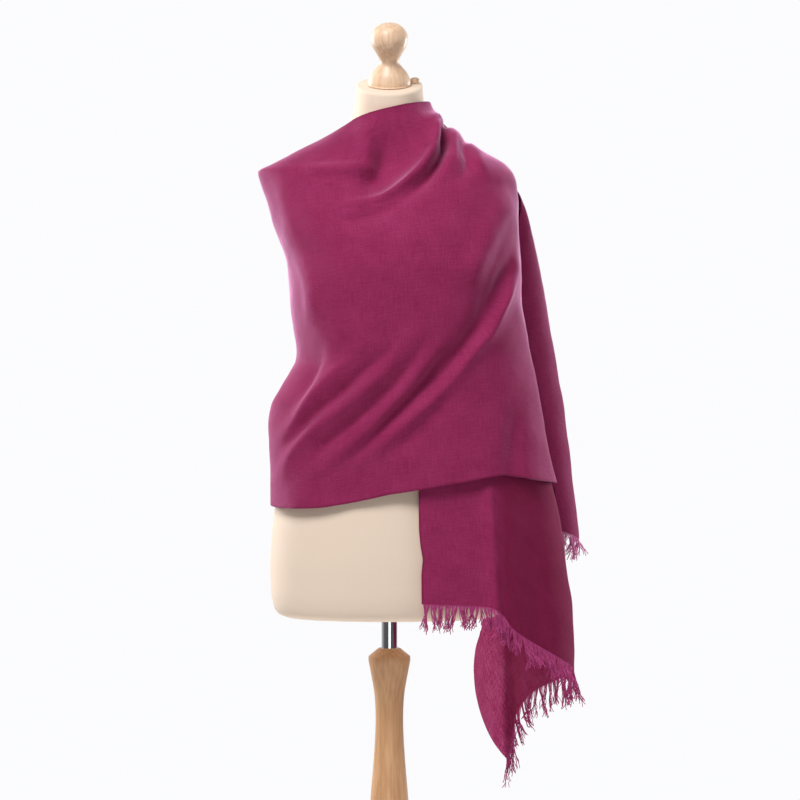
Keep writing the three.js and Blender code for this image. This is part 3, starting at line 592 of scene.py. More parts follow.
def cloth_piece(name, surface, across, down, size, selvedges, material, shaded_from=None):
    """A thin wall on a stretch: its outer face, an inner face and its four edges.

    across and down count its faces, and size is the cloth's width and length for the weave.
    selvedges names the sides of the stretch that are woven edges: top, bottom, left or right.
    shaded_from is the x past which its inside is darker, where a fold turns it from the light.
    """
    v, u = np.meshgrid(np.linspace(0, 1, down + 1), np.linspace(0, 1, across + 1), indexing="ij")
    v = ROW_CROWDING * v**2 + (1 - ROW_CROWDING) * v
    outer = surface(u, v)
    around = np.gradient(outer, axis=1)
    fall = np.gradient(outer, axis=0)
    outward = unit(np.cross(fall, around))
    inner = outer - outward * CLOTH_WALL
    count = outer.shape[0] * outer.shape[1]
    index = np.arange(count).reshape(outer.shape[:2])
    a, b, c, d = index[:-1, :-1], index[1:, :-1], index[1:, 1:], index[:-1, 1:]
    front = np.stack([a, b, c, d], axis=-1).reshape(-1, 4)
    back = np.stack([a, d, c, b], axis=-1).reshape(-1, 4) + count
    rims = []
    for edge in (index[0, ::-1], index[-1], index[:, 0], index[::-1, -1]):
        rims.append(np.stack([edge[:-1], edge[:-1] + count, edge[1:] + count, edge[1:]], axis=-1))
    faces = np.vstack([front, back, *rims])
    points = np.vstack([outer.reshape(-1, 3), inner.reshape(-1, 3)])
    points[:, 2] += TORSO_BOTTOM
    mesh = bpy.data.meshes.new(name)
    mesh.from_pydata((points * MM).tolist(), [], faces.tolist())
    flat = np.stack([u * size[0], (1 - v) * size[1]], axis=-1).reshape(-1, 2)
    flat = np.vstack([flat, flat]) * MM
    layer = mesh.uv_layers.new(name="cloth")
    corners = np.zeros(len(mesh.loops), int)
    mesh.loops.foreach_get("vertex_index", corners)
    layer.data.foreach_set("uv", flat[corners].ravel())
    # The inside attribute is 1 on the inner face, whose paler tone is painted light through the thin
    # weave, and drops past shaded_from as painted shade
    inside = mesh.attributes.new("inside", "FLOAT", "POINT")
    brightness = np.ones(count)
    if shaded_from is not None:
        brightness -= SHADED_SHARE * ease((outer[..., 0].ravel() - shaded_from) / SHADE_EDGE)
    inside.data.foreach_set("value", np.concatenate([np.zeros(count), brightness]))
    edge = np.zeros(outer.shape[:2])
    sides = {"top": np.s_[0], "bottom": np.s_[-1], "left": np.s_[:, 0], "right": np.s_[:, -1]}
    for side in selvedges:
        edge[sides[side]] = 1
    woven_edge = mesh.attributes.new("selvedge", "FLOAT", "POINT")
    woven_edge.data.foreach_set("value", np.tile(edge.ravel(), 2))
    mesh.polygons.foreach_set("use_smooth", np.ones(len(mesh.polygons), bool))
    mesh.set_sharp_from_angle(angle=CLOTH_CORNER)
    mesh.materials.append(material)
    return put_in_scene(name, mesh)


# Materials


def new_material(name):
    material = bpy.data.materials.new(name)
    material.use_nodes = True
    nodes = material.node_tree.nodes
    nodes.clear()
    shader = nodes.new("ShaderNodeBsdfPrincipled")
    out = nodes.new("ShaderNodeOutputMaterial")
    material.node_tree.links.new(shader.outputs[0], out.inputs["Surface"])
    return material, material.node_tree, shader


def srgb(r, g, b):
    def linear(c):
        c = c / 255
        return c / 12.92 if c <= 0.04045 else ((c + 0.055) / 1.055) ** 2.4

    return (linear(r), linear(g), linear(b), 1)


def node_tree_maths(tree):
    """Short ways to fill a socket and to add a math, a vector math or a scaling node to a tree."""

    def put(socket, value):
        if isinstance(value, bpy.types.NodeSocket):
            tree.links.new(value, socket)
        else:
            socket.default_value = value

    def number(kind, *values):
        node = tree.nodes.new("ShaderNodeMath")
        node.operation = kind
        for socket, value in zip(node.inputs, values):
            put(socket, value)
        return node.outputs[0]

    def vector(kind, *values):
        node = tree.nodes.new("ShaderNodeVectorMath")
        node.operation = kind
        for socket, value in zip(node.inputs, values):
            put(socket, value)
        return node.outputs[0]

    def scaled(value, by):
        node = tree.nodes.new("ShaderNodeVectorMath")
        node.operation = "SCALE"
        put(node.inputs[0], value)
        put(node.inputs["Scale"], by)
        return node.outputs[0]

    return put, number, vector, scaled


def tone_between(tree, value, dark, light, low=0, high=1):
    """A colour ramp from a dark tone to a light one, over a value from low to high."""
    ramp = tree.nodes.new("ShaderNodeValToRGB")
    for element, place, tone in zip(ramp.color_ramp.elements, (low, high), (dark, light)):
        element.position = place
        element.color = tone
    tree.links.new(value, ramp.inputs[0])
    return ramp.outputs[0]


def blended(tree, share, under, over):
    """One colour over another, as far as a share between 0 and 1 says."""
    put = node_tree_maths(tree)[0]
    mix = tree.nodes.new("ShaderNodeMix")
    mix.data_type = "RGBA"
    put(mix.inputs["Factor"], share)
    put(mix.inputs["A"], under)
    put(mix.inputs["B"], over)
    return mix.outputs["Result"]


def place_noise(tree, scale, detail=2, stretched=(1, 1, 1)):
    """Noise by the place on the object, longer along an axis where stretched is below 1."""
    place = tree.nodes.new("ShaderNodeTexCoord")
    mapping = tree.nodes.new("ShaderNodeMapping")
    mapping.inputs["Scale"].default_value = stretched
    tree.links.new(place.outputs["Object"], mapping.inputs["Vector"])
    noise = tree.nodes.new("ShaderNodeTexNoise")
    noise.inputs["Scale"].default_value = scale
    noise.inputs["Detail"].default_value = detail
    tree.links.new(mapping.outputs[0], noise.inputs["Vector"])
    return noise.outputs["Fac"]


def raise_surface(tree, shader, height, strength, distance):
    """Small relief on a surface. The distance is in metres."""
    bump = tree.nodes.new("ShaderNodeBump")
    bump.inputs["Strength"].default_value = strength
    bump.inputs["Distance"].default_value = distance
    tree.links.new(height, bump.inputs["Height"])
    tree.links.new(bump.outputs[0], shader.inputs["Normal"])


def weave_group():
    """Height and fleck of a fine plain weave under a soft brushed nap, from places on the flat cloth."""
    group = bpy.data.node_groups.new("fine weave", "ShaderNodeTree")
    sides = group.interface
    sides.new_socket("Place", in_out="INPUT", socket_type="NodeSocketVector")
    sides.new_socket("Threads per metre", in_out="INPUT", socket_type="NodeSocketFloat")
    sides.new_socket("Height", in_out="OUTPUT", socket_type="NodeSocketFloat")
    sides.new_socket("Fleck", in_out="OUTPUT", socket_type="NodeSocketFloat")
    nodes, links = group.nodes, group.links
    come = nodes.new("NodeGroupInput")
    go = nodes.new("NodeGroupOutput")
    _, maths, _, _ = node_tree_maths(group)

    split = nodes.new("ShaderNodeSeparateXYZ")
    links.new(come.outputs["Place"], split.inputs[0])
    turns = maths("MULTIPLY", come.outputs["Threads per metre"], math.pi)
    warp = maths("SINE", maths("MULTIPLY", split.outputs["X"], turns))
    weft = maths("SINE", maths("MULTIPLY", split.outputs["Y"], turns))
    threads = maths("MULTIPLY", warp, weft)

    def noise(scale, stretched, detail):
        mapping = nodes.new("ShaderNodeMapping")
        mapping.inputs["Scale"].default_value = stretched
        links.new(come.outputs["Place"], mapping.inputs["Vector"])
        node = nodes.new("ShaderNodeTexNoise")
        node.inputs["Scale"].default_value = scale
        node.inputs["Detail"].default_value = detail
        links.new(mapping.outputs[0], node.inputs["Vector"])
        return maths("SUBTRACT", node.outputs["Fac"], 0.5)

    slub_down = noise(200, (3.4, 0.2, 1), 1)
    slub_across = noise(200, (0.2, 3.4, 1), 1)
    nap = noise(560, (1, 1, 1), 3)
    cloud = noise(28, (1, 1, 1), 2)
    slubs = maths("ADD", slub_down, slub_across)
    height = maths("ADD", maths("MULTIPLY", threads, 0.3), maths("MULTIPLY", slubs, 0.9))
    links.new(maths("ADD", height, nap), go.inputs["Height"])
    fleck = maths("ADD", maths("MULTIPLY", slubs, 0.6), maths("MULTIPLY", nap, 0.9))
    fleck = maths("ADD", fleck, maths("MULTIPLY", cloud, 0.5))
    fleck = maths("ADD", fleck, maths("MULTIPLY", threads, 0.12))
    links.new(maths("ADD", fleck, 0.5), go.inputs["Fleck"])
    return group


WEAVE = weave_group()


THREADS_PER_METRE = 1800
CLOTH_TONES = (srgb(134, 34, 76), srgb(166, 56, 104))
# The inner face's paler, brighter tones are painted light shining through the thin weave
LIT_THROUGH_INSIDE_TONES = (srgb(192, 60, 118), srgb(234, 112, 170))
SELVEDGE_TONE = srgb(96, 20, 52)
# Painted shade on the under end's outer face past the form's left hip
PAINTED_SHADE_TONE = srgb(104, 10, 40)
# Painted sheen: the pale colour that turned-away cloth takes
PAINTED_SHEEN_TONE = srgb(246, 176, 218)
SHEEN_TONE = srgb(246, 178, 226)
LEFT_HIP = (0.135, 0.165)  # x between which the under end's outer face turns darker by painted shade, where it turns from the front light, in metres
PAINTED_SHEEN_HEIGHTS = (1.14, 1.26)  # heights between which the painted sheen grows from its low to its full strength, in metres: lower down less rim light falls on the nap
FULL_PAINTED_SHEEN = 2.2


def shawl_material(name, sheen, low_painted_sheen, painted_shade_share=0):
    """Brushed pashmina. Its low strength sets how pale the painted sheen on turned-away cloth is low down,
    where less rim light falls, against the full strength above; its shade share sets how far painted shade
    darkens it past the form's left hip.
    """
    material, tree, shader = new_material(name)
    nodes, links = tree.nodes, tree.links
    _, maths, _, _ = node_tree_maths(tree)
    place = nodes.new("ShaderNodeUVMap")
    place.uv_map = "cloth"
    weave = nodes.new("ShaderNodeGroup")
    weave.node_tree = WEAVE
    weave.inputs["Threads per metre"].default_value = THREADS_PER_METRE
    links.new(place.outputs[0], weave.inputs["Place"])
    inside = nodes.new("ShaderNodeAttribute")
    inside.attribute_name = "inside"
    selvedge = nodes.new("ShaderNodeAttribute")
    selvedge.attribute_name = "selvedge"
    where = nodes.new("ShaderNodeTexCoord")
    spot = nodes.new("ShaderNodeSeparateXYZ")
    links.new(where.outputs["Object"], spot.inputs[0])

    tone = tone_between(tree, weave.outputs["Fleck"], *CLOTH_TONES, 0.1, 0.9)
    # The inner face takes the paler tones: painted light through the weave, dimmed by painted shade where
    # the inside attribute drops
    lit_through_tone = tone_between(tree, weave.outputs["Fleck"], *LIT_THROUGH_INSIDE_TONES, 0.3, 0.75)
    tone = blended(tree, inside.outputs["Fac"], tone, lit_through_tone)
    # The selvedge is woven closer, so it is darker
    tone = blended(tree, maths("MULTIPLY", selvedge.outputs["Fac"], 0.6), tone, SELVEDGE_TONE)
    # Past the form's left hip the under end's outer face is painted a deeper red: painted shade, where the
    # cloth turns from the front light
    painted_shade_mask = nodes.new("ShaderNodeMapRange")
    painted_shade_mask.interpolation_type = "SMOOTHSTEP"
    painted_shade_mask.inputs["From Min"].default_value, painted_shade_mask.inputs["From Max"].default_value = LEFT_HIP
    painted_shade_mask.inputs["To Max"].default_value = painted_shade_share
    links.new(spot.outputs["X"], painted_shade_mask.inputs["Value"])
    outside = maths("SUBTRACT", 1, inside.outputs["Fac"])
    tone = blended(tree, maths("MULTIPLY", painted_shade_mask.outputs["Result"], outside), tone, PAINTED_SHADE_TONE)
    # Painted sheen: the colour turns paler where the cloth turns away, standing in for rim light on the
    # brushed nap, and less so low down, where less of that light falls
    grazing = nodes.new("ShaderNodeLayerWeight")
    grazing.inputs["Blend"].default_value = 0.35
    turned_away = maths("POWER", grazing.outputs["Facing"], 4.4)
    nap = nodes.new("ShaderNodeMapRange")
    nap.inputs["From Min"].default_value, nap.inputs["From Max"].default_value = PAINTED_SHEEN_HEIGHTS
    nap.inputs["To Min"].default_value = low_painted_sheen
    nap.inputs["To Max"].default_value = FULL_PAINTED_SHEEN
    links.new(spot.outputs["Z"], nap.inputs["Value"])
    tone = blended(tree, maths("MULTIPLY", turned_away, nap.outputs["Result"]), tone, PAINTED_SHEEN_TONE)
    links.new(tone, shader.inputs["Base Color"])
    raise_surface(tree, shader, weave.outputs["Height"], 0.6, 0.0009)
    shader.inputs["Roughness"].default_value = 0.9
    shader.inputs["Specular IOR Level"].default_value = 0.05
    shader.inputs["Sheen Weight"].default_value = sheen
    shader.inputs["Sheen Roughness"].default_value = 0.3
    shader.inputs["Sheen Tint"].default_value = SHEEN_TONE
    return material


def jersey_material():
    material, tree, shader = new_material("cream jersey")
    knit = place_noise(tree, 900)
    tone = tone_between(tree, knit, srgb(226, 205, 184), srgb(234, 214, 195))
    tree.links.new(tone, shader.inputs["Base Color"])
    raise_surface(tree, shader, knit, 0.12, 0.0004)
    shader.inputs["Roughness"].default_value = 0.8
    return material


def beech_material(name, dark, light):
    material, tree, shader = new_material(name)
    grain = place_noise(tree, 260, detail=4, stretched=(1, 1, 0.06))
    tree.links.new(tone_between(tree, grain, dark, light, 0.3, 0.7), shader.inputs["Base Color"])
    shader.inputs["Roughness"].default_value = 0.5
    shader.inputs["Coat Weight"].default_value = 0.2
    shader.inputs["Coat Roughness"].default_value = 0.2
    return material


def chrome_material():
    material, tree, shader = new_material("polished chrome")
    rough = tree.nodes.new("ShaderNodeMapRange")
    rough.inputs["To Min"].default_value = 0.06
    rough.inputs["To Max"].default_value = 0.12
    tree.links.new(place_noise(tree, 40), rough.inputs["Value"])
    tree.links.new(rough.outputs["Result"], shader.inputs["Roughness"])
    shader.inputs["Base Color"].default_value = srgb(205, 205, 208)
    shader.inputs["Metallic"].default_value = 1
    return material


def yarn_material(name, dark, light):
    material, tree, shader = new_material(name)
    tree.links.new(tone_between(tree, place_noise(tree, 300), dark, light), shader.inputs["Base Color"])
    shader.inputs["Roughness"].default_value = 0.85
    shader.inputs["Specular IOR Level"].default_value = 0.1
    return material


SHAWL = shawl_material("magenta pashmina", sheen=0.5, low_painted_sheen=0.45)
# The under end: painted shade past the form's left hip, weaker painted sheen low down and less sheen, as
# it lies turned from the light
SHAWL_END = shawl_material("magenta pashmina, end with painted shade", sheen=0.06, low_painted_sheen=0.1, painted_shade_share=0.5)
YARN = yarn_material("magenta yarn", srgb(146, 38, 92), srgb(206, 92, 152))
# The over end's fringe hangs against the bright backdrop: the same yarn, paler as painted backlight
# shining through it
BACKLIT_YARN = yarn_material("magenta yarn, painted backlight", srgb(196, 96, 150), srgb(240, 164, 210))
JERSEY = jersey_material()
BEECH = beech_material("lacquered beech", srgb(188, 138, 96), srgb(211, 163, 118))
PALE_BEECH = beech_material("pale lacquered beech", srgb(214, 176, 144), srgb(236, 203, 172))
CHROME = chrome_material()

front_wrap = cloth_piece("shawl_front_wrap", front_wrap_at, 260, 170, (720, 560), ("top", "bottom"), SHAWL)
back_wrap = cloth_piece("shawl_back_wrap", back_wrap_at, 160, 130, (420, 620), ("top", "bottom"), SHAWL)
under_end = cloth_piece(
    "shawl_under_end", under_end_at, 170, 200, (500, 900), ("left",), SHAWL_END, shaded_from=163
)
over_end = cloth_piece("shawl_over_end", over_end_at, 170, 150, (420, 640), ("left", "right"), SHAWL)


# Fringe: loose yarns that hang from a hem in clumps


def fringe_tree():
    tree = bpy.data.node_groups.new("clumped fringe", "GeometryNodeTree")
    sides = tree.interface
    sides.new_socket("Geometry", in_out="INPUT", socket_type="NodeSocketGeometry")
    for name, kind in (
        ("Yarns", "NodeSocketInt"),
        ("Yarns in a clump", "NodeSocketInt"),
        ("Spacing", "NodeSocketFloat"),
        ("Length", "NodeSocketFloat"),
        ("Thickness", "NodeSocketFloat"),
        ("Sway", "NodeSocketFloat"),
        ("Wave", "NodeSocketFloat"),
        ("Seed", "NodeSocketInt"),
        ("Material", "NodeSocketMaterial"),
    ):
        sides.new_socket(name, in_out="INPUT", socket_type=kind)
    sides.new_socket("Geometry", in_out="OUTPUT", socket_type="NodeSocketGeometry")
    nodes, links = tree.nodes, tree.links
    put, number, vector, scaled = node_tree_maths(tree)
    come = nodes.new("NodeGroupInput").outputs
    go = nodes.new("NodeGroupOutput")

    hem = nodes.new("GeometryNodeMeshToCurve")
    links.new(come["Geometry"], hem.inputs[0])
    roots = nodes.new("GeometryNodeCurveToPoints")
    roots.mode = "COUNT"
    links.new(hem.outputs[0], roots.inputs["Curve"])
    links.new(come["Yarns"], roots.inputs["Count"])
    line = nodes.new("GeometryNodeCurvePrimitiveLine")
    line.inputs["End"].default_value = (0, 0, -1)
    points = nodes.new("GeometryNodeResampleCurve")
    points.inputs["Count"].default_value = 12
    links.new(line.outputs[0], points.inputs["Curve"])
    index = nodes.new("GeometryNodeInputIndex").outputs[0]
    clump = number("FLOOR", number("DIVIDE", index, come["Yarns in a clump"]))

    def draw(low, high, key, kind="FLOAT"):
        node = nodes.new("FunctionNodeRandomValue")
        node.data_type = kind
        socket = {"FLOAT": (2, 3, 1), "FLOAT_VECTOR": (0, 1, 0)}[kind]
        node.inputs[socket[0]].default_value = low
        node.inputs[socket[1]].default_value = high
        put(node.inputs["ID"], key)
        put(node.inputs["Seed"], come["Seed"])
        return node.outputs[socket[2]]

    clump_length = draw(0.72, 1.12, clump)
    yarn_length = draw(0.82, 1.06, index)
    length = number("MULTIPLY", come["Length"], number("MULTIPLY", clump_length, yarn_length))
    size = nodes.new("ShaderNodeCombineXYZ")
    size.inputs[0].default_value = 1
    size.inputs[1].default_value = 1
    links.new(length, size.inputs[2])
    hung = nodes.new("GeometryNodeInstanceOnPoints")
    links.new(roots.outputs["Points"], hung.inputs["Points"])
    links.new(points.outputs[0], hung.inputs["Instance"])
    links.new(size.outputs[0], hung.inputs["Scale"])

    def keep(geometry, name, value, kind, domain):
        node = nodes.new("GeometryNodeStoreNamedAttribute")
        node.data_type = kind
        node.domain = domain
        node.inputs["Name"].default_value = name
        links.new(geometry, node.inputs["Geometry"])
        links.new(value, node.inputs["Value"])
        return node.outputs[0]

    middle = number("DIVIDE", number("SUBTRACT", come["Yarns in a clump"], 1), 2)
    place = number("SUBTRACT", middle, number("MODULO", index, come["Yarns in a clump"]))
    inward = scaled(roots.outputs["Tangent"], number("MULTIPLY", place, come["Spacing"]))
    clump_sway = draw((-1, -0.6, -0.1), (1, 0.5, 0.1), clump, "FLOAT_VECTOR")
    yarn_sway = draw((-0.35, -0.35, 0), (0.35, 0.35, 0), index, "FLOAT_VECTOR")
    sway = scaled(vector("ADD", clump_sway, yarn_sway), come["Sway"])
    kept = keep(hung.outputs[0], "sway", sway, "FLOAT_VECTOR", "INSTANCE")
    kept = keep(kept, "yarn", index, "FLOAT", "INSTANCE")
    with_inward = nodes.new("GeometryNodeStoreNamedAttribute")
    with_inward.data_type = "FLOAT_VECTOR"
    with_inward.domain = "POINT"
    with_inward.inputs["Name"].default_value = "inward"
    links.new(roots.outputs["Points"], with_inward.inputs["Geometry"])
    links.new(inward, with_inward.inputs["Value"])
    links.new(with_inward.outputs[0], hung.inputs["Points"])
    realised = nodes.new("GeometryNodeRealizeInstances")
    links.new(kept, realised.inputs[0])

    def recall(name, kind):
        node = nodes.new("GeometryNodeInputNamedAttribute")
        node.data_type = kind
        node.inputs["Name"].default_value = name
        return node.outputs["Attribute"]

    along = nodes.new("GeometryNodeSplineParameter").outputs["Factor"]
    bend = number("POWER", along, 1.6)
    # The yarns of a clump draw together below the hem and open a little again at their tips
    gather = nodes.new("ShaderNodeFloatCurve")
    for place_on, value in ((0.35, 0.55), (0.6, 0.7)):
        gather.mapping.curves[0].points.new(place_on, value)
    gather.mapping.curves[0].points[0].location = (0, 0)
    gather.mapping.curves[0].points[-1].location = (1, 0.35)
    gather.mapping.update()
    links.new(along, gather.inputs["Value"])
    noise = nodes.new("ShaderNodeTexNoise")
    noise.noise_dimensions = "4D"
    noise.inputs["Scale"].default_value = 70
    noise.inputs["Detail"].default_value = 1
    links.new(nodes.new("GeometryNodeInputPosition").outputs[0], noise.inputs["Vector"])
    links.new(number("MULTIPLY", recall("yarn", "FLOAT"), 0.13), noise.inputs["W"])
    centred = vector("SUBTRACT", noise.outputs["Color"], (0.5, 0.5, 0.5))
    wave = scaled(centred, number("MULTIPLY", come["Wave"], number("POWER", along, 0.8)))
    move = vector(
        "ADD",
        vector("ADD", scaled(recall("sway", "FLOAT_VECTOR"), bend), wave),
        scaled(recall("inward", "FLOAT_VECTOR"), gather.outputs[0]),
    )
    bent = nodes.new("GeometryNodeSetPosition")
    links.new(realised.outputs[0], bent.inputs["Geometry"])
    links.new(move, bent.inputs["Offset"])
    round_section = nodes.new("GeometryNodeCurvePrimitiveCircle")
    round_section.inputs["Resolution"].default_value = 4
    links.new(number("DIVIDE", come["Thickness"], 2), round_section.inputs["Radius"])
    taper = nodes.new("GeometryNodeSetCurveRadius")
    links.new(bent.outputs[0], taper.inputs["Curve"])
    links.new(number("SUBTRACT", 1, number("MULTIPLY", along, 0.55)), taper.inputs["Radius"])
    solid = nodes.new("GeometryNodeCurveToMesh")
    links.new(taper.outputs[0], solid.inputs["Curve"])
    links.new(round_section.outputs[0], solid.inputs["Profile Curve"])
    solid.inputs["Fill Caps"].default_value = True
    last = nodes.new("GeometryNodeRealizeInstances")
    links.new(solid.outputs[0], last.inputs[0])
    finish = nodes.new("GeometryNodeSetMaterial")
    links.new(last.outputs[0], finish.inputs["Geometry"])
    links.new(come["Material"], finish.inputs["Material"])
    links.new(finish.outputs[0], go.inputs[0])
    return tree


FRINGE = fringe_tree()
YARN_SIZES = {"Yarns in a clump": 7, "Thickness": 0.0011, "Sway": 0.013, "Wave": 0.015}
HEM_POINTS = 240
ROOT_DEPTH = 0.6  # how far the yarns start inside the hem


def fringe_piece(name, surface, from_u, to_u, yarns, length, seed, material=YARN):
    """Yarns along the lower edge of a stretch, between two places on it. The length is in metres."""
    u = np.linspace(from_u, to_u, HEM_POINTS)
    hem = surface(u, np.ones_like(u))
    above = surface(u, np.full_like(u, 0.99))
    fall = unit(hem - above)
    around = np.gradient(hem, axis=0)
    inward = -unit(np.cross(fall, around))
    line = hem + inward * CLOTH_WALL / 2 - fall * ROOT_DEPTH
    line[:, 2] += TORSO_BOTTOM
    mesh = bpy.data.meshes.new(name)
    edges = [(i, i + 1) for i in range(len(line) - 1)]
    mesh.from_pydata((line * MM).tolist(), edges, [])
    piece = put_in_scene(name, mesh)
    spacing = np.linalg.norm(np.diff(line, axis=0), axis=1).sum() * MM / yarns
    values = {"Yarns": yarns, "Spacing": spacing, "Length": length, "Seed": seed, "Material": material}
    values.update(YARN_SIZES)
    grown = piece.modifiers.new("fringe", "NODES")
    grown.node_group = FRINGE
    for item in FRINGE.interface.items_tree:
        if item.in_out == "INPUT" and item.name in values:
            grown[item.identifier] = values[item.name]
    depsgraph = bpy.context.evaluated_depsgraph_get()
    plain = bpy.data.meshes.new_from_object(piece.evaluated_get(depsgraph))
    piece.modifiers.clear()
    piece.data = plain
    plain.name = name
    plain.polygons.foreach_set("use_smooth", np.ones(len(plain.polygons), bool))
    return piece


fringes = [
    fringe_piece("under_fringe_front_yarns", under_end_at, 0.004, 0.56, 400, 0.034, 3),
    fringe_piece("under_fringe_back_yarns", under_end_at, 0.562, 0.996, 210, 0.046, 5),
    fringe_piece("over_fringe_yarns", over_end_at, 0.004, 0.996, 290, 0.032, 9, BACKLIT_YARN),
]


# The form and its stand


TURNED_CORNER = math.radians(35)  # a sharper angle than this stays an edge


def turned(name, profile, material, place=(0, 0, 0), lean=0, sides=96, rounding=4):
    """A turned piece from radius and height pairs.

    Its outline is smooth between the pairs, in as many steps as rounding says, or straight with 1.
    """
    outline = np.array(profile, float)
    if rounding > 1:
        outline = through(profile, (len(profile) - 1) * rounding + 1)
    outline[:, 0] = np.maximum(outline[:, 0], 0)
    angles = np.linspace(0, 2 * math.pi, sides, endpoint=False)
    rows = outline[1:-1]
    ring = np.stack([np.cos(angles), np.sin(angles)], axis=-1)
    points = [(0, 0, outline[0, 1])]
    for radius, z in rows:
        points += [(x * radius, y * radius, z) for x, y in ring]
    points.append((0, 0, outline[-1, 1]))
    faces = [(0, 1 + (i + 1) % sides, 1 + i) for i in range(sides)]
    for j in range(len(rows) - 1):
        for i in range(sides):
            a, b = 1 + j * sides + i, 1 + j * sides + (i + 1) % sides
            faces.append((a, b, b + sides, a + sides))
    top = 1 + (len(rows) - 1) * sides
    faces += [(len(points) - 1, top + i, top + (i + 1) % sides) for i in range(sides)]
    points = np.array(points)
    c, s = math.cos(math.radians(lean)), math.sin(math.radians(lean))
    y, z = points[:, 1].copy(), points[:, 2].copy()
    points[:, 1], points[:, 2] = y * c - z * s, y * s + z * c
    points += np.array(place)
    mesh = bpy.data.meshes.new(name)
    mesh.from_pydata((points * MM).tolist(), [], faces)
    mesh.polygons.foreach_set("use_smooth", np.ones(len(mesh.polygons), bool))
    mesh.set_sharp_from_angle(angle=TURNED_CORNER)
    mesh.materials.append(material)
    return put_in_scene(name, mesh)


TORSO = table(
    "z side front back",
    [
        (0, 146, 98, 98), (4, 156, 107, 107), (14, 163, 114, 115), (36, 167, 118, 119),
        (75, 168, 119, 121), (110, 166.5, 117, 120), (150, 162, 113, 115), (200, 150, 107, 104),
        (250, 130, 101, 88), (300, 119.5, 97, 80), (345, 121, 101, 82), (395, 126, 112, 88),
        (440, 131, 124, 94), (480, 134.5, 130, 99), (520, 141, 124, 103), (560, 151, 110, 105),
        (592, 159, 96, 102), (612, 163, 85, 98), (624, 159.5, 78, 93), (634, 149, 73, 88),
        (646, 131, 68, 83), (658, 108.5, 64, 77), (670, 88.5, 60, 71), (684, 68, 57, 63),
        (697, 57, 56, 59), (712, 51.5, 56, 53), (728, 48.5, 57, 47), (747, 47, 57, 43),
    ],
)
BUST = {"x": 66, "z": 472, "rise": 8, "radius": 52}
TORSO_ROUNDNESS = 2.25
TORSO_SIDES = 144
TORSO_LEVELS = 150
FOOT_HEIGHTS = [0, 1, 2.5, 4, 7, 10, 14, 20]  # levels of the rounded lower rim
RIM_INSET = 0.07  # share of its width by which the neck's rim rounds in
CAP_INSETS = (0.6, 0.2)  # rings of the flat ends, as shares of their width
NECK_START = 697


def torso_piece():
    phi = np.radians(np.linspace(0, 360, TORSO_SIDES, endpoint=False))
    heights = np.concatenate([FOOT_HEIGHTS, np.linspace(28, NECK_TOP - NECK_RIM, TORSO_LEVELS)])
    z, angle = np.meshgrid(heights, phi, indexing="ij")
    s, c = np.sin(angle), np.cos(angle)
    share = np.clip(1 - np.abs(s) ** TORSO_ROUNDNESS, 0, 1) ** (1 / TORSO_ROUNDNESS)
    side, front, back = (smooth(TORSO, "z", key)(z) for key in ("side", "front", "back"))
    x = s * side
    y = np.where(c < 0, back * share, -front * share)
    away = (np.abs(x) - BUST["x"]) ** 2 + (z - BUST["z"]) ** 2
    y = np.where(c > 0, y - BUST["rise"] * np.exp(-away / BUST["radius"] ** 2) * share, y)
    lean = math.tan(math.radians(NECK_TILT))
    high = np.clip((z - NECK_START) / (NECK_TOP - NECK_RIM - NECK_START), 0, 1)
    z = z + high * lean * y
    rows = [np.stack([x, y, z], axis=-1)]
    edge = rows[0][-1]
    for turn in np.radians([18, 36, 54, 72, 90]):
        inset = 1 - RIM_INSET * (1 - math.cos(turn))
        ring = edge * [inset, inset, 1]
        ring[:, 2] = NECK_TOP - NECK_RIM + NECK_RIM * math.sin(turn) + lean * ring[:, 1]
        rows.append(ring[None])
    for inset in CAP_INSETS:
        ring = edge * [inset, inset, 1]
        ring[:, 2] = NECK_TOP + lean * ring[:, 1]
        rows.append(ring[None])
    foot = rows[0][0]
    for inset in CAP_INSETS:
        rows.insert(0, (foot * [inset, inset, 1])[None])
    grid = np.vstack(rows)
    count = grid.shape[0]
    index = np.arange(count * TORSO_SIDES).reshape(count, TORSO_SIDES)
    right = np.roll(index, -1, axis=1)
    quads = np.stack([index[:-1], right[:-1], right[1:], index[1:]], axis=-1).reshape(-1, 4)
    faces = quads.tolist() + [index[0, ::-1].tolist(), index[-1].tolist()]
    points = grid.reshape(-1, 3).copy()
    points[:, 2] += TORSO_BOTTOM
    mesh = bpy.data.meshes.new("jersey_form")
    mesh.from_pydata((points * MM).tolist(), [], faces)
    mesh.polygons.foreach_set("use_smooth", np.ones(len(mesh.polygons), bool))
    mesh.materials.append(JERSEY)
    return put_in_scene("jersey_form", mesh)


SEAM_GAP = 0.3  # between two pieces that are fitted together
KNOB = [
    (0, 0), (28.5, 0), (30, 3), (29.3, 8), (25, 17), (18.4, 25), (14.2, 31), (14.4, 37.5),
    (18.6, 46), (24, 55), (26.3, 63.5), (25.2, 71.5), (20, 80.5), (11, 86.3), (0, 87.6),
]
PEG = [(0, 0), (6.5, 0), (7, 2), (6, 5), (3.5, 6.6), (0, 7)]
BASE_HEIGHT = 28
BASE_RADIUS = 165
POLE_RADIUS = 11
POLE_FOOT = -300
SOCKET_RADIUS = POLE_RADIUS + SEAM_GAP
COLUMN_TOP = -45.7
COLUMN_FOOT = BASE_HEIGHT + SEAM_GAP - TORSO_BOTTOM
SHAFT = [
    (27, COLUMN_FOOT + 36), (27, COLUMN_FOOT + 60), (33, COLUMN_FOOT + 110), (35, -560), (34, -440),
    (31, -330), (27, -262), (22.6, -209), (19.9, -165), (19.6, -135), (21.2, -110), (24.8, -88),
    (28.6, -68), (29.6, -62), (29.4, -57),
]
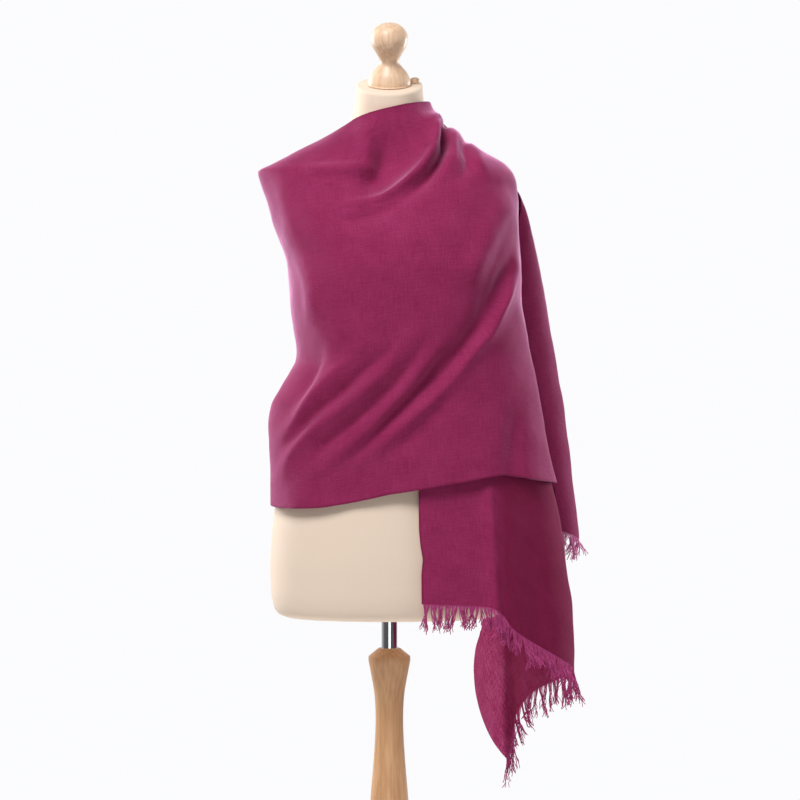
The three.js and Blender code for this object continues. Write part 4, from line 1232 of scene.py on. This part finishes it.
COLUMN = [
    (0, COLUMN_FOOT), (42, COLUMN_FOOT), (42, COLUMN_FOOT + 14), (34, COLUMN_FOOT + 24),
    *through(SHAFT, 5 * len(SHAFT) - 4).tolist(),
    (15.5, COLUMN_TOP), (SOCKET_RADIUS, COLUMN_TOP), (SOCKET_RADIUS, POLE_FOOT - SEAM_GAP),
    (0, POLE_FOOT - SEAM_GAP),
]
POLE = [(0, POLE_FOOT), (POLE_RADIUS, POLE_FOOT), (POLE_RADIUS, -SEAM_GAP), (0, -SEAM_GAP)]
BASE = [
    (0, 0), (BASE_RADIUS - 3, 0), (BASE_RADIUS, 3), (BASE_RADIUS, 14), (BASE_RADIUS - 5, 21),
    (BASE_RADIUS - 16, BASE_HEIGHT - 2), (BASE_RADIUS - 30, BASE_HEIGHT), (0, BASE_HEIGHT),
]
ON_FORM = (0, 0, TORSO_BOTTOM)
tilt = math.radians(NECK_TILT)
NECK_MIDDLE = -7  # y of the middle of the neck's top
PEG_ASIDE = 36
PEG_BACK = 16
neck_middle = np.array([0, NECK_MIDDLE, TORSO_BOTTOM + NECK_TOP + NECK_MIDDLE * math.tan(tilt)])
off_neck = np.array([0, -math.sin(tilt), math.cos(tilt)]) * SEAM_GAP
peg_place = neck_middle + [PEG_ASIDE, PEG_BACK * math.cos(tilt), PEG_BACK * math.sin(tilt)] + off_neck
torso = torso_piece()
knob = turned("neck_knob_turned", KNOB, PALE_BEECH, neck_middle + off_neck, NECK_TILT)
peg = turned("neck_peg_turned", PEG, PALE_BEECH, peg_place, NECK_TILT, 48)
column = turned("column_turned", COLUMN, BEECH, ON_FORM, rounding=1)
pole = turned("pole_tube", POLE, CHROME, ON_FORM, rounding=1)
base = turned("base_turned", BASE, BEECH, sides=160, rounding=1)

for piece, node, slot in (
    (front_wrap, "front_wrap", "shawl_cloth"),
    (back_wrap, "back_wrap", "shawl_cloth"),
    (under_end, "under_end", "shawl_cloth"),
    (over_end, "over_end", "shawl_cloth"),
    (fringes[0], "under_fringe_front", "shawl_cloth"),
    (fringes[1], "under_fringe_back", "shawl_cloth"),
    (fringes[2], "over_fringe", "shawl_cloth"),
    (torso, "torso", "jersey_cover"),
    (knob, "neck_knob", "turned_wood"),
    (peg, "neck_peg", "turned_wood"),
    (column, "column", "turned_wood"),
    (base, "base", "turned_wood"),
    (pole, "pole", "chrome_pole"),
):
    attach(piece, "root")
    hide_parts(node)


# Studio


FLOOR_THICK = 0.02
FLOOR_DROP = 0.0002  # how far the floor lies below the base, so that the two don't share a face
FRONT_GLOW = 0.16
BACKDROP_GLOW = 0.8
MIDDLE = (0, 0, 1.15)  # where the lamps aim


def floor():
    place = (0, 0, -FLOOR_THICK / 2 - FLOOR_DROP)
    bpy.ops.mesh.primitive_cylinder_add(vertices=96, radius=1.6, depth=FLOOR_THICK, location=place)
    disc = bpy.context.object
    disc.name = "studio_floor"
    material, _, shader = new_material("pale floor")
    shader.inputs["Base Color"].default_value = (0.86, 0.86, 0.87, 1)
    shader.inputs["Roughness"].default_value = 0.6
    disc.data.materials.append(material)


def softbox(name, place, size, power):
    data = bpy.data.lights.new(name, "AREA")
    data.shape = "RECTANGLE"
    data.size, data.size_y = size
    data.energy = power
    lamp = bpy.data.objects.new(name, data)
    lamp.location = place
    lamp.rotation_mode = "QUATERNION"
    lamp.rotation_quaternion = (Vector(MIDDLE) - Vector(place)).to_track_quat("-Z", "Y")
    bpy.context.scene.collection.objects.link(lamp)


def white_room():
    """White all round: brightest behind the form, as a lit backdrop is. The pale floor below is made by
    floor().
    """
    world = bpy.data.worlds.new("white studio")
    world.use_nodes = True
    nodes, links = world.node_tree.nodes, world.node_tree.links
    nodes.clear()
    out = nodes.new("ShaderNodeOutputWorld")
    seen = nodes.new("ShaderNodeBackground")
    seen.inputs["Color"].default_value = (0.97, 0.97, 0.985, 1)
    way = nodes.new("ShaderNodeTexCoord")
    split = nodes.new("ShaderNodeSeparateXYZ")
    links.new(way.outputs["Generated"], split.inputs[0])
    glow = nodes.new("ShaderNodeMapRange")
    glow.interpolation_type = "SMOOTHSTEP"
    glow.inputs["From Min"].default_value = -0.35
    glow.inputs["From Max"].default_value = 0.75
    glow.inputs["To Min"].default_value = FRONT_GLOW
    glow.inputs["To Max"].default_value = BACKDROP_GLOW
    links.new(split.outputs["Y"], glow.inputs["Value"])
    lit = nodes.new("ShaderNodeBackground")
    links.new(glow.outputs["Result"], lit.inputs["Strength"])
    path = nodes.new("ShaderNodeLightPath")
    mix = nodes.new("ShaderNodeMixShader")
    links.new(path.outputs["Is Camera Ray"], mix.inputs[0])
    links.new(lit.outputs[0], mix.inputs[1])
    links.new(seen.outputs[0], mix.inputs[2])
    links.new(mix.outputs[0], out.inputs["Surface"])
    bpy.context.scene.world = world


floor()
white_room()
softbox("key", (-1.0, -1.9, 3.6), (1.4, 1.4), 102)
softbox("fill", (2.6, -0.9, 1.8), (1.0, 1.4), 8)
softbox("low front", (0.2, -3.0, 0.8), (1.6, 1.0), 11)
softbox("left rim", (-2.0, 1.5, 1.9), (0.9, 1.2), 62)
softbox("right rim", (1.9, 1.6, 1.5), (0.9, 1.2), 50)

# Camera: it looks level along +Y from in front of the form
CAMERA_PLACE = (0.015, -3.4, 1.1046)
FRAME_AT_AXIS = 1.130  # width of what it sees at the form's axis, in metres
SENSOR = 36  # millimetres
data = bpy.data.cameras.new("camera")
data.sensor_width = SENSOR
data.lens = SENSOR * -CAMERA_PLACE[1] / FRAME_AT_AXIS
camera = bpy.data.objects.new("camera", data)
camera.location = CAMERA_PLACE
camera.rotation_euler = (math.radians(90), 0, 0)
bpy.context.scene.collection.objects.link(camera)
bpy.context.scene.camera = camera
bpy.context.scene.view_settings.view_transform = "Standard"
